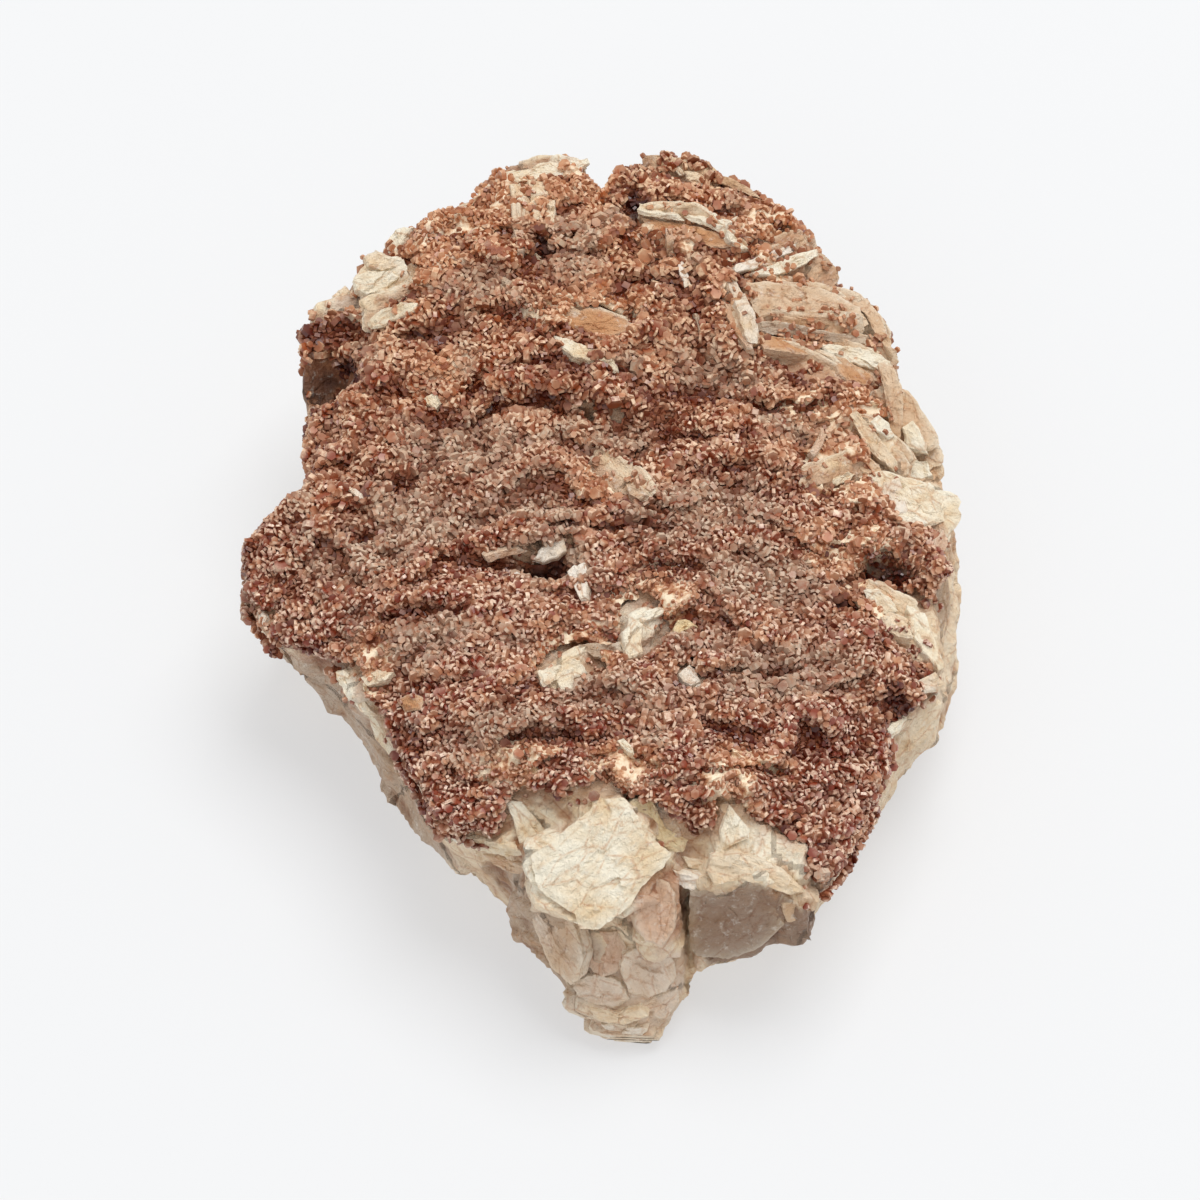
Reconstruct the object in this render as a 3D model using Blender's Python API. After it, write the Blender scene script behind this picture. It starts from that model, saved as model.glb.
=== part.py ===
"""A vanadinite specimen: a plate of intergrown barite blades under a crust of vanadinite crystals.

Lengths are in millimetres until a mesh is made, and in metres there. +X is the specimen's right and +Y its
rear, as it lies on its flat broken base with the crystals up. The outlines are drawn round the middle of the
crust, and the pieces are moved at the end so that the origin is the middle of the base.
"""

import math
import random

import bmesh
import bpy
import numpy as np
from mathutils import Euler, Matrix, Vector, noise

MM = 0.001
TURN = 2 * math.pi

# Driving dimensions
CRUST_THICK = 2.2
CRUST_LIP = 1.1
CRUST_UNDER = 3.5
CRUST_FLOOR = 22.0
GAP = 0.35
SHARPEST = 1.7
CRYSTAL_RADII = (1.3, 2.1)
CRYSTAL_COUNT = 30
CRYSTAL_SPACING = 9.0
BASE_TRIM = 0.5
BELLY = 4.0
DRAWN_MIDDLE = (0.42, 5.37)
SEED = 11

# Mesh density
SEGMENTS = 132
RINGS = 60
BODY_KEPT = 0.09
CRUST_KEPT = 0.095

# Where each band of the body ends, from the middle of the top, 0, to the middle of the base, 1
RIM_BAND = 0.56
WALL_BAND = 0.68
FOOT_BAND = 0.86

# The rim, where the crusted top meets the walls: (x, y, height), from the right round by the rear
RIM = [
    (58.2, 1.8, 33), (58.5, 7.9, 34), (56.8, 17.9, 33), (55.2, 24.1, 33), (52.4, 31.8, 34), (50.6, 39.5, 35),
    (49.1, 47.3, 36), (45.3, 55.0, 36), (41.6, 58.6, 36), (40.0, 63.6, 36), (37.8, 66.4, 38), (33.6, 72.0, 39),
    (28.4, 74.3, 40), (22.4, 77.7, 41), (15.5, 79.0, 42), (9.5, 80.9, 43), (4.3, 80.2, 42), (0.0, 76.2, 39),
    (-0.6, 75.6, 38), (-1.3, 82.4, 40), (-6.9, 81.9, 42), (-13.8, 80.6, 42), (-19.0, 78.2, 42),
    (-24.9, 72.4, 42), (-30.0, 69.8, 42), (-35.6, 65.9, 41), (-39.0, 61.7, 40), (-42.6, 57.0, 40),
    (-48.0, 53.1, 39), (-51.6, 48.2, 38), (-51.3, 41.9, 36), (-50.7, 35.0, 34), (-49.4, 28.6, 34),
    (-48.6, 21.6, 35), (-49.4, 15.9, 36), (-53.0, 12.7, 35), (-57.4, 9.3, 34), (-60.2, 4.5, 33),
    (-60.0, -1.8, 31), (-57.4, -6.7, 30), (-54.0, -12.9, 30), (-49.3, -14.2, 30), (-43.5, -15.8, 31),
    (-42.4, -19.5, 32), (-40.7, -24.8, 32), (-37.1, -26.6, 32), (-33.2, -33.4, 32), (-31.0, -38.6, 32),
    (-28.2, -45.1, 32), (-26.3, -49.2, 32), (-20.8, -50.9, 32), (-16.0, -52.1, 31), (-12.0, -54.0, 30),
    (-8.3, -58.0, 28), (-1.6, -61.2, 26), (2.4, -61.5, 26), (6.4, -60.2, 28), (11.2, -59.2, 31),
    (16.0, -59.2, 31), (20.7, -59.0, 33), (27.1, -59.5, 33), (32.8, -60.6, 31), (36.1, -59.8, 30),
    (40.6, -53.3, 29), (43.4, -47.0, 29), (45.5, -42.2, 29), (47.6, -36.8, 30), (47.2, -32.5, 32),
    (49.0, -29.8, 33), (54.0, -25.8, 33), (56.3, -21.5, 33), (55.4, -13.6, 33), (56.2, -5.6, 33),
]

# The walls where they stand out or draw in most, under the rim
WALL = [
    (60.4, -1.0, 15), (60.3, 8.0, 16), (58.4, 20.0, 16), (55.5, 30.0, 16), (51.5, 42.0, 17), (47.0, 54.0, 18),
    (38.0, 65.0, 18), (26.0, 74.0, 18), (12.0, 78.0, 18), (0.0, 75.0, 18), (-12.0, 77.0, 18),
    (-24.0, 70.0, 18), (-37.0, 60.0, 18), (-46.0, 50.0, 18), (-48.0, 40.0, 18), (-46.0, 30.0, 18),
    (-45.0, 20.0, 18), (-51.0, 13.0, 18), (-57.5, 8.0, 20), (-59.2, 2.5, 22), (-56.5, -3.0, 20),
    (-53.1, -7.3, 18), (-48.7, -11.1, 17), (-43.9, -14.6, 18), (-42.3, -18.3, 17), (-37.7, -24.7, 17),
    (-31.2, -34.6, 18), (-27.4, -42.2, 20), (-21.1, -46.5, 20), (-13.8, -51.2, 19), (-12.0, -54.7, 17),
    (-10.2, -59.5, 14), (-7.8, -63.7, 10), (-4.1, -66.7, 7), (0.0, -70.5, 5), (4.9, -72.2, 4),
    (8.4, -71.2, 4), (11.7, -67.4, 6), (14.3, -63.7, 10), (18.6, -62.3, 12), (24.3, -61.4, 13),
    (28.8, -59.2, 15), (32.4, -57.4, 16), (35.6, -53.8, 18), (41.0, -46.8, 18), (43.8, -40.0, 18),
    (46.7, -35.7, 18), (48.8, -31.2, 18), (49.4, -28.9, 18), (53.8, -24.4, 16), (57.4, -18.4, 15),
    (59.4, -8.3, 15),
]

# The foot that the specimen rests on, at the base
FOOT = [
    (52, 0, 0), (50, 22, 0), (42, 44, 0), (26, 62, 0), (4, 68, 0), (-20, 62, 0), (-38, 46, 0), (-40, 26, 0),
    (-44, 6, 0), (-38, -10, 0), (-29, -24, 0), (-20, -38, 0), (-9, -52, 0), (-3, -64, 0), (5, -67.5, 0),
    (9, -64, 0), (14, -54, 0), (26, -48, 0), (36, -36, 0), (44, -20, 0),
]

# Heights of the top between the rims: (x, y, height)
KNOLLS = [
    (-25, 51, 46), (-7, 47, 46), (10, 73, 45), (-46, 47, 38), (-28, 21, 41), (-43, 0, 37), (-51, -6, 33),
    (-24, -11, 40), (-7, 28, 45), (0, 20, 41), (17, 49, 45), (21, 33, 41), (39, 46, 41), (42, 17, 38),
    (26, 10, 42), (26, -9, 39), (13, -4, 42), (48, -2, 34), (41, -21, 38), (54, -19, 35), (27, -29, 37),
    (16, -28, 40), (0, -30, 40), (-13, -35, 41), (-29, -29, 36), (-27, -43, 33), (-6, -46, 40),
    (16, -46, 41), (34, -47, 36), (38, -55, 31), (3, -52, 38), (0, -62, 30),
]
KNOLL_SOFTNESS = 6.0

# Ledges where one sheet of blades ends above the next: (x, y) to (x, y), drop, and how far it fades.
# The side to the left of each line is the high one.
LEDGES = [
    (-21, -3, -4, 1, 4.0, 5), (-56, -12, -44, -8, 2.0, 4), (-38, -17, -24, -15, 1.8, 4),
    (-42, -18, -31, -20, 2.0, 4), (-18, 28, 7, 24, 4.5, 7), (-25, 53, -16, 53, 2.2, 4),
    (-44, 27, -28, 34, 3.0, 6), (-11, 54, -13, 66, 3.4, 5), (14, -34, 29, -28, 2.4, 4),
    (40, 2, 54, -4, 3.4, 5), (35, -12, 47, -11, 1.8, 4), (32, -50, 44, -42, 2.2, 4),
    (30, -55, 40, -51, 1.6, 3), (-32, -42, -22, -43, 1.6, 4), (-2, 5, 8, -4, 1.8, 5),
    (-6, -37, 10, -36, 1.6, 5), (10, -45, 26, -47, 2.0, 4), (-2, 59, 15, 56, 2.6, 6),
    (7, 39, 23, 35, 2.6, 5), (-28, 4, -8, 8, 1.8, 5), (8, 14, 30, 15, 1.8, 5), (-50, 2, -34, 6, 1.6, 4),
]

LEDGE_RUN = 1.0

# Pits and gullies: (x, y, half length, half width, depth)
HOLLOWS = [
    (-9, -3.5, 5.5, 2.6, 5.0), (-46, 38, 5.0, 5.5, 8.0), (17, -55, 3.0, 2.4, 5.0), (48, -27.5, 2.6, 2.2, 3.5),
    (23, 33, 6.0, 3.4, 2.2), (-32, -28, 4.5, 3.0, 2.2), (50, -1.5, 3.6, 3.4, 3.0), (8, -17, 3.0, 2.4, 2.0),
    (36, 47, 10.0, 8.0, 1.8),
]

# Where the crust is missing and the barite shows: (x, y, half width, half depth)
BARE = [
    (1, -66, 15.5, 19.5), (23, -64, 10.5, 13.0), (-12, -51, 4.3, 5.0), (22, -52, 2.3, 4.0), (7, -16, 3.2, 5.0),
    (-5, -24, 5.0, 4.2), (15, -26, 2.0, 2.6), (55, 22, 9.0, 15.0), (39, 43.5, 12.0, 9.0), (52, -11, 4.4, 7.4),
    (-36, 54, 5.0, 4.6), (-37, 65, 5.0, 4.0), (-8, 82, 7.5, 3.0), (0, 42, 4.6, 2.6), (-56, -8, 2.4, 2.6),
    (-47, 38, 3.4, 4.1), (-42, -22, 2.8, 4.4), (57, -24, 3.6, 3.6), (48, -28, 1.6, 1.6), (-47, 52, 3.4, 3.0),
    (-29, 71, 6.0, 2.6), (-37.5, -29, 2.4, 4.0),
]
BARE_RAGGED = 0.22
BARE_SLOPE = 7.0

# Barite tablets grown through the plate: middle (x, y, height), length, width, thickness, and in degrees the
# heading of the long edge, the lean of the face towards the front and the pitch of the long edge
TABLETS = {
    "arc_left": (12.0, 63.3, 45.8, 12, 8, 1.8, 0, 64, -3),
    "arc_right": (20.4, 60.7, 44.8, 12, 7, 1.8, -39, 58, -11),
    "sheaf_upper": (30.4, 59.1, 41.0, 15, 7, 1.8, 35, 42, -7),
    "sheaf_lower": (33.2, 56.2, 40.0, 15, 7, 1.8, 36, 34, -11),
    "top_tablet": (34.0, 49.8, 39.9, 18, 9, 2.4, -4, 32, -11),
    "outer_tablet": (42.8, 49.1, 35.4, 12, 9, 2.6, -49, 34, -18),
    "mid_tablet": (35.3, 45.0, 38.4, 20, 9, 2.4, 3, 60, -11),
    "low_tablet": (42.1, 41.4, 35.2, 15, 10, 3.0, -8, 48, -19),
    "under_tablet": (33.3, 38.1, 38.0, 13, 8, 2.0, -16, 52, -13),
    "white_face": (24.5, 45, 44.3, 15, 8, 1.8, -74, -56, -4),
    "tan_front": (-2.1, 35.2, 44.4, 12, 6, 1.8, -30, 40, -7),
    "tan_back": (-1.0, 41.0, 44.6, 14, 8, 2.0, -12, 30, -4),
    "pit_top": (-8, 0.5, 41.0, 8, 5, 1.6, 17, 12, 8),
    "red_edge": (38, 14, 40.2, 14, 6, 1.8, 31, 40, -9),
    "corner_upper": (-35, 48, 43.0, 11, 6, 2.0, 19, 28, 6),
    "corner_low": (-37, 54, 42.5, 9, 6, 2.2, 24, 32, 9),
    "spike": (-9.5, 79.0, 41.5, 16, 5.5, 2.8, 14, 30, -6),
    "fold_mid": (3, 12, 42.6, 14, 6, 1.8, -44, 34, 4),
    "right_long": (46, 22, 37.2, 14, 8, 2.4, -47, 34, -12),
    "right_mid": (49, 29, 36.2, 14, 8, 2.6, -52, 30, -14),
    "right_out": (52, 27, 32.6, 16, 9, 2.8, -62, 24, -10),
    "right_cream": (52, 12, 33.6, 14, 10, 3.2, -8, 18, -8),
    "fan_top": (47, -8, 35.2, 10, 6, 2.0, -27, 30, -8),
    "crescent": (6.5, -17, 41.6, 10, 5, 1.8, 58, 30, 0),
    "cream_mid": (-5, -24, 40.8, 11, 6, 1.8, 40, 24, -5),
    "crown": (14, 76, 43.4, 15, 8, 2.4, -8, 34, -4),
    "front_slab": (-1.5, -57.5, 31.3, 23, 18, 4.5, 4, 30, 4),
    "front_step": (2.5, -52.5, 36.2, 17, 11, 3.0, -12, 26, 6),
    "lens": (25, -55.5, 25.0, 21, 20, 12, -6, 84, 0),
    "lens_top": (25, -55, 32.6, 19, 11, 3.0, -6, 20, 2),
    "pink": (8.8, -58.0, 25.0, 9, 18, 7, 2, 72, 0),
    "disc": (8.1, -63.5, 12.4, 9, 9, 5, 0, 52, 0),
    "disc_side": (11.5, -62.5, 8.6, 8, 10, 5, 24, 62, 0),
    "flank": (-8.5, -57.0, 18.0, 13, 19, 7, -42, 74, 0),
    "tip_upper": (1.5, -64.5, 8.4, 13, 9, 2.0, -8, 20, -4),
    "tip_middle": (3.0, -66.5, 5.6, 12, 8, 2.0, -10, 16, -5),
    "tip_lower": (4.5, -66.5, 2.6, 10, 9, 2.4, -12, 10, -5),
}
TABLET_SIDES = 6
TABLET_TAPER = 0.88
TABLET_SQUARE = 0.75
TABLET_RAGGED = 0.35

# Broken plates on the walls all round
PLATE_COUNT = 15
PLATE_LONG = (14, 25)
PLATE_WIDE = (10, 18)
PLATE_THICK = 5.0
PLATE_PROUD = -0.9
PLATE_LEVELS = (11.0, 24.0)
PLATE_STRAY = 0.3
PLATE_REACH = 0.12

# Open cracks between the plates: middle, length, width and gape, then the angles as for a tablet
CRACKS = {
    "front_cleft": (14.3, -62.5, 22, 15, 30, 2.2, 84, 88, 0),
    "flank_hollow": (-4.6, -64.5, 14, 6, 9, 5, -40, 76, 0),
    "under_slab": (-1, -67.0, 24.0, 14, 8, 3.0, 4, 20, 4),
}


def outline_by_angle(points):
    """A function that gives the outline's distance from the middle and its height, at an angle round it."""
    polar = sorted((math.atan2(y, x) % TURN, math.hypot(x, y), z) for x, y, z in points)
    angles, radii, heights = zip(*polar)

    def at(angle):
        radius = np.interp(angle, angles, radii, period=TURN)
        height = np.interp(angle, angles, heights, period=TURN)
        return float(radius), float(height)

    return at


rim_at = outline_by_angle(RIM)
wall_at = outline_by_angle(WALL)
foot_at = outline_by_angle(FOOT)


def smooth_step(low, high, value):
    """0 at low, 1 at high and a soft curve between."""
    share = min(1.0, max(0.0, (value - low) / (high - low)))
    return share * share * (3 - 2 * share)


def mix(first, second, share):
    return first + (second - first) * share


def rough(x, y, z, grain, offset=0.0):
    """Smooth noise between about -1 and 1, with lumps of that grain in millimetres."""
    return noise.noise(Vector((x / grain + offset, y / grain - offset, z / grain + 2 * offset)))


def knoll_height(x, y):
    total = weights = 0.0
    for kx, ky, height in KNOLLS:
        weight = ((x - kx) ** 2 + (y - ky) ** 2 + KNOLL_SOFTNESS**2) ** -2
        total += weight * height
        weights += weight
    return total / weights


def ledge_lift(x, y):
    """How far the ledges raise or lower the top there."""
    lift = 0.0
    for x0, y0, x1, y1, drop, fade in LEDGES:
        length = math.hypot(x1 - x0, y1 - y0)
        ux, uy = (x1 - x0) / length, (y1 - y0) / length
        along = ((x - x0) * ux + (y - y0) * uy) / length
        side = (y - y0) * ux - (x - x0) * uy
        ends = 1 - smooth_step(0.38, 0.72, abs(along - 0.5))
        way = mix(-0.45, 0.55, smooth_step(-LEDGE_RUN, LEDGE_RUN, side))
        lift += way * drop * ends * math.exp(-abs(side) / fade)
    return lift


def hollow_depth(x, y):
    depth = 0.0
    for hx, hy, half_long, half_wide, deep in HOLLOWS:
        depth += deep * math.exp(-(((x - hx) / half_long) ** 2) - ((y - hy) / half_wide) ** 2)
    return depth


def top_height(x, y):
    """The height of the barite's upper face."""
    angle = math.atan2(y, x)
    radius, rim_height = rim_at(angle)
    share = math.hypot(x, y) / radius
    height = mix(knoll_height(x, y), rim_height, smooth_step(0.74, 1.0, share))
    height += (ledge_lift(x, y) - hollow_depth(x, y)) * (1 - 0.5 * smooth_step(0.9, 1.0, share))
    bare = smooth_step(0.3, -0.2, crust_cover(x, y))
    return height + 0.7 * rough(x, y, 0, 9.0, 3.0) + 0.8 * bare * rough(x, y, 0, 4.0, 7.0)


def crust_cover(x, y):
    """Over 0 where vanadinite covers the barite, and under 0 where the barite is bare."""
    cover = 1.0
    for bx, by, half_wide, half_deep in BARE:
        away = math.hypot((x - bx) / half_wide, (y - by) / half_deep) - 1
        cover = min(cover, away * min(half_wide, half_deep) / BARE_SLOPE * 2)
    return cover + BARE_RAGGED * rough(x, y, 0, 3.5, 21.0)


def matrix_point(angle, share):
    """A point of the barite's surface, by the angle round it and the share of the way down from the top."""
    rim_radius, rim_height = rim_at(angle)
    wall_radius, wall_height = wall_at(angle)
    foot_radius, _ = foot_at(angle)
    lip = CRUST_LIP * smooth_step(-0.2, 0.2, crust_cover(*circle(angle, rim_radius - 1)))
    rim_radius -= lip
    if share < RIM_BAND:
        radius = rim_radius * share / RIM_BAND
        height = top_height(*circle(angle, radius)) - 0.8 * lip * smooth_step(0.9, 1.0, share / RIM_BAND)
    elif share < WALL_BAND:
        down = (share - RIM_BAND) / (WALL_BAND - RIM_BAND)
        edge_height = top_height(*circle(angle, rim_radius)) - 0.8 * lip
        radius = mix(rim_radius, wall_radius, down)
        height = mix(edge_height, wall_height, down)
    elif share < FOOT_BAND:
        down = (share - WALL_BAND) / (FOOT_BAND - WALL_BAND)
        radius = mix(wall_radius, foot_radius, down**1.3)
        height = wall_height * (1 - down)
    else:
        inward = (share - FOOT_BAND) / (1 - FOOT_BAND)
        radius = foot_radius * (1 - inward)
        height = -BELLY * inward * (2 - inward)
    wall = smooth_step(RIM_BAND - 0.02, RIM_BAND + 0.03, share) * smooth_step(0.5, 5.0, height)
    x, y = circle(angle, radius)
    radius += wall * (1.3 * rough(x, y, height, 8.0, 5.0) + 0.7 * rough(x, y, height, 3.5, 9.0))
    x, y = circle(angle, radius)
    return Vector((x, y, height))


def circle(angle, radius):
    return math.cos(angle) * radius, math.sin(angle) * radius


def ball_mesh(place):
    """A closed mesh: a ball whose points are moved to place(angle round it, share of the way down)."""
    mesh = bmesh.new()
    bmesh.ops.create_uvsphere(mesh, u_segments=SEGMENTS, v_segments=RINGS, radius=1.0)
    for point in mesh.verts:
        angle = math.atan2(point.co.y, point.co.x)
        share = math.acos(max(-1.0, min(1.0, point.co.z))) / math.pi
        point.co = place(angle, share)
    mesh.normal_update()
    return mesh


def new_object(name, mesh, collection):
    """Turns a bmesh in millimetres into an object of that collection, in metres, with its faces in order."""
    bmesh.ops.triangulate(mesh, faces=mesh.faces)
    points = [point.co * MM for point in mesh.verts]
    faces = [[point.index for point in face.verts] for face in mesh.faces]
    mesh.free()
    faces = sorted(face[face.index(min(face)):] + face[:face.index(min(face))] for face in faces)
    data = bpy.data.meshes.new(name)
    data.from_pydata(points, [], faces)
    obj = bpy.data.objects.new(name, data)
    collection.objects.link(obj)
    return obj


def applied(obj, name, collection):
    """A new object with obj's modifiers applied, in place of obj."""
    graph = bpy.context.evaluated_depsgraph_get()
    data = bpy.data.meshes.new_from_object(obj.evaluated_get(graph))
    data.name = name
    bpy.data.objects.remove(obj)
    made = bpy.data.objects.new(name, data)
    collection.objects.link(made)
    return made


def thin_out(obj, kept):
    decimate = obj.modifiers.new("thin_out", "DECIMATE")
    decimate.ratio = kept
    return obj


def combine(obj, other, operation):
    """Joins or cuts obj with another object, or with all those of a collection."""
    step = obj.modifiers.new(operation.lower(), "BOOLEAN")
    step.operation = operation
    step.solver = "MANIFOLD"
    if isinstance(other, bpy.types.Collection):
        step.operand_type = "COLLECTION"
        step.collection = other
    else:
        step.object = other
    return obj


def tablet(name, at, collection):
    """One barite tablet: a flat prism with a worn outline, leaning out of the plate."""
    x, y, z, long, wide, thick, heading, lean, pitch = at
    mesh = bmesh.new()
    bmesh.ops.create_cone(
        mesh, cap_ends=True, segments=TABLET_SIDES, radius1=1.0, radius2=TABLET_TAPER, depth=1.0
    )
    for point in mesh.verts:
        corner = point.co.copy()
        for axis in (0, 1):
            point.co[axis] = math.copysign(abs(corner[axis]) ** TABLET_SQUARE, corner[axis])
            point.co[axis] *= 1 + TABLET_RAGGED * rough(corner.x, corner.y, 0, 0.7, x + z)
        point.co.z *= 1 + TABLET_RAGGED * rough(corner.x, corner.y, corner.z, 0.9, y)
    bmesh.ops.scale(mesh, vec=(long / 2, wide / 2, thick), verts=mesh.verts)
    turn = Matrix.Rotation(math.radians(heading), 4, "Z")
    turn = turn @ Matrix.Rotation(-math.radians(pitch), 4, "Y") @ Matrix.Rotation(math.radians(lean), 4, "X")
    bmesh.ops.transform(mesh, matrix=Matrix.Translation((x, y, z)) @ turn, verts=mesh.verts)
    return helper(new_object(name, mesh, collection))


def tablets(title, drawn, tools):
    """A collection of the drawn tablets."""
    made = bpy.data.collections.new(title)
    tools.children.link(made)
    for name, at in drawn.items():
        tablet(name, at, made)
    return made


def wall_point(angle):
    """Where the wall is at that angle round it, seen from above."""
    radius, _ = wall_at(angle)
    return Vector(circle(angle, radius))


def wall_plates():
    """Tablets that lie against the walls, evenly round them with their sizes and leans drawn by lot."""
    draw = random.Random(SEED)
    drawn = {}
    for index in range(PLATE_COUNT):
        angle = (index + draw.uniform(-PLATE_STRAY, PLATE_STRAY)) * TURN / PLATE_COUNT
        height = draw.uniform(*PLATE_LEVELS)
        along = wall_point(angle + PLATE_REACH) - wall_point(angle - PLATE_REACH)
        inward = Vector((-along.y, along.x)).normalized()
        x, y = wall_point(angle) + inward * (PLATE_THICK / 2 - PLATE_PROUD)
        heading = math.degrees(math.atan2(along.y, along.x))
        lean = 90 + draw.uniform(-16, 10) + (height - PLATE_LEVELS[0]) * -0.6
        long, wide = draw.uniform(*PLATE_LONG), draw.uniform(*PLATE_WIDE)
        at = (x, y, height, long, wide, PLATE_THICK, heading, lean, draw.uniform(-12, 12))
        drawn[f"plate_{index}"] = at
    return drawn


def helper(obj):
    obj.hide_render = True
    obj.display_type = "WIRE"
    return obj


def notch_cutter(collection):
    """The cleft in the rear rim, which undercuts the spike beside it."""
    outline = [(0.6, 79.0), (-1.2, 84.0), (3.0, 84.0), (1.2, 78.0), (-1.6, 74.2), (-3.8, 74.2), (-3.0, 76.6)]
    mesh = bmesh.new()
    corners = [mesh.verts.new((x, y, 24.0)) for x, y in outline]
    face = mesh.faces.new(corners)
    raised = bmesh.ops.extrude_face_region(mesh, geom=[face])
    tops = [item for item in raised["geom"] if isinstance(item, bmesh.types.BMVert)]
    bmesh.ops.translate(mesh, vec=(0, 0, 30.0), verts=tops)
    bmesh.ops.recalc_face_normals(mesh, faces=mesh.faces)
    return helper(new_object("notch_cutter", mesh, collection))


def largest_piece(mesh):
    """Deletes every loose piece of the mesh but the largest."""
    left, pieces = set(mesh.faces), []
    while left:
        piece, front = set(), {left.pop()}
        while front:
            face = front.pop()
            piece.add(face)
            edges = [edge for edge in face.edges if edge.is_manifold]
            near = {other for edge in edges for other in edge.link_faces} & left
            front |= near
            left -= near
        pieces.append(piece)
    pieces.sort(key=len)
    for piece in pieces[:-1]:
        bmesh.ops.delete(mesh, geom=list(piece), context="FACES")


def trim_base(mesh):
    """Cuts the specimen flat where it rests."""
    everything = mesh.verts[:] + mesh.edges[:] + mesh.faces[:]
    bmesh.ops.bisect_plane(
        mesh, geom=everything, plane_co=(0, 0, BASE_TRIM * MM), plane_no=(0, 0, 1), clear_inner=True
    )
    rim = [edge for edge in mesh.edges if edge.is_boundary]
    bmesh.ops.edgeloop_fill(mesh, edges=rim)


def edited(obj, *edits):
    """Turns the object's mesh to triangles, and runs each edit on it."""
    mesh = bmesh.new()
    mesh.from_mesh(obj.data)
    for edit in edits:
        bmesh.ops.triangulate(mesh, faces=mesh.faces)
        edit(mesh)
    mesh.to_mesh(obj.data)
    mesh.free()
    return obj


def barite_body(tools):
    """The plate of barite without its large tablets."""
    mesh = ball_mesh(matrix_point)
    return applied(thin_out(new_object("body", mesh, tools), BODY_KEPT), "body", tools)


def barite_matrix(body, plates, parts, tools):
    """The body with the plates on its walls and its large tablets, its cracks and its cleft."""
    matrix = body.copy()
    tools.objects.link(matrix)
    combine(matrix, tablets("wall_plates", plates, tools), "UNION")
    combine(matrix, tablets("tablets", TABLETS, tools), "UNION")
    combine(matrix, tablets("cracks", CRACKS, tools), "DIFFERENCE")
    combine(matrix, notch_cutter(tools), "DIFFERENCE")
    matrix = applied(matrix, "barite_matrix", parts)
    return edited(matrix, trim_base, largest_piece)


def crust_point(angle, share):
    """A point of the crust before the barite is cut from it."""
    radius, rim_height = rim_at(angle)
    upper = share < 0.5
    out = share * 2 if upper else 2 - share * 2
    x, y = circle(angle, radius * out)
    height = top_height(x, y)
    if upper:
        cover = max(-1.0, min(1.0, 2.5 * crust_cover(x, y)))
        grain = 0.8 * rough(x, y, 0, 2.6, 31.0) + 0.4 * rough(x, y, 0, 1.5, 37.0)
        edge = smooth_step(0.96, 1.0, out)
        height += mix(CRUST_THICK * cover + grain * max(0.0, cover), -0.3 * CRUST_UNDER, edge)
    else:
        height = mix(CRUST_FLOOR, rim_height - CRUST_UNDER, smooth_step(0.6, 0.95, out))
    return Vector((x, y, height))


def crystal(at, radius, tall, lean, heading, spin, collection):
    """One vanadinite crystal, a six-sided prism that stands out of the crust."""
    mesh = bmesh.new()
    bmesh.ops.create_cone(mesh, cap_ends=True, segments=6, radius1=radius, radius2=radius, depth=tall)
    turn = Euler((lean, 0, heading)).to_matrix().to_4x4() @ Matrix.Rotation(spin, 4, "Z")
    bmesh.ops.transform(mesh, matrix=Matrix.Translation(at) @ turn, verts=mesh.verts)
    return helper(new_object("crystal", mesh, collection))


def scatter_crystals(collection):
    """Crystals over the crust, no two nearer than the spacing."""
    draw = random.Random(SEED)
    placed = []
    while len(placed) < CRYSTAL_COUNT:
        angle = draw.uniform(0, TURN)
        radius, _ = rim_at(angle)
        x, y = circle(angle, radius * math.sqrt(draw.random()) * 0.97)
        near = any(math.hypot(x - px, y - py) < CRYSTAL_SPACING for px, py in placed)
        if crust_cover(x, y) < 0.35 or near:
            continue
        placed.append((x, y))
        wide = draw.uniform(*CRYSTAL_RADII)
        height = top_height(x, y) + CRUST_THICK + 0.1 * wide
        lean, heading, spin = draw.uniform(0.3, 1.1), draw.uniform(0, TURN), draw.uniform(0, 1)
        crystal((x, y, height), wide, wide * 1.3, lean, heading, spin, collection)


def vanadinite_crust(body, plates, parts, tools):
    """The one crust of crystals, which stops at the bare barite and at the tablets that stand through it."""
    blank = new_object("crust_blank", ball_mesh(crust_point), tools)
    blank = applied(thin_out(blank, CRUST_KEPT), "crust_blank", tools)
    crystals = bpy.data.collections.new("crystals")
    tools.children.link(crystals)
    scatter_crystals(crystals)
    combine(blank, crystals, "UNION")
    combine(blank, swollen(body, tools), "DIFFERENCE")
    combine(blank, tablets("room_for_tablets", grown({**plates, **TABLETS}), tools), "DIFFERENCE")
    return edited(applied(blank, "vanadinite_crust", parts), largest_piece)


def swollen(body, tools):
    """The body grown by the gap all round."""
    mesh = bmesh.new()
    mesh.from_mesh(body.data)
    mesh.normal_update()
    moves = [point.normal * min(SHARPEST, point.calc_shell_factor()) * GAP * MM for point in mesh.verts]
    for point, move in zip(mesh.verts, moves):
        point.co += move
    bmesh.ops.scale(mesh, vec=(1 / MM, 1 / MM, 1 / MM), verts=mesh.verts)
    return helper(new_object("swollen_body", mesh, tools))


def grown(drawn):
    """The drawn tablets, larger by the gap all round."""
    return {
        name + "_room": (x, y, z, long + 2 * GAP, wide + 2 * GAP, thick + 2 * GAP, *angles)
        for name, (x, y, z, long, wide, thick, *angles) in drawn.items()
    }


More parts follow.
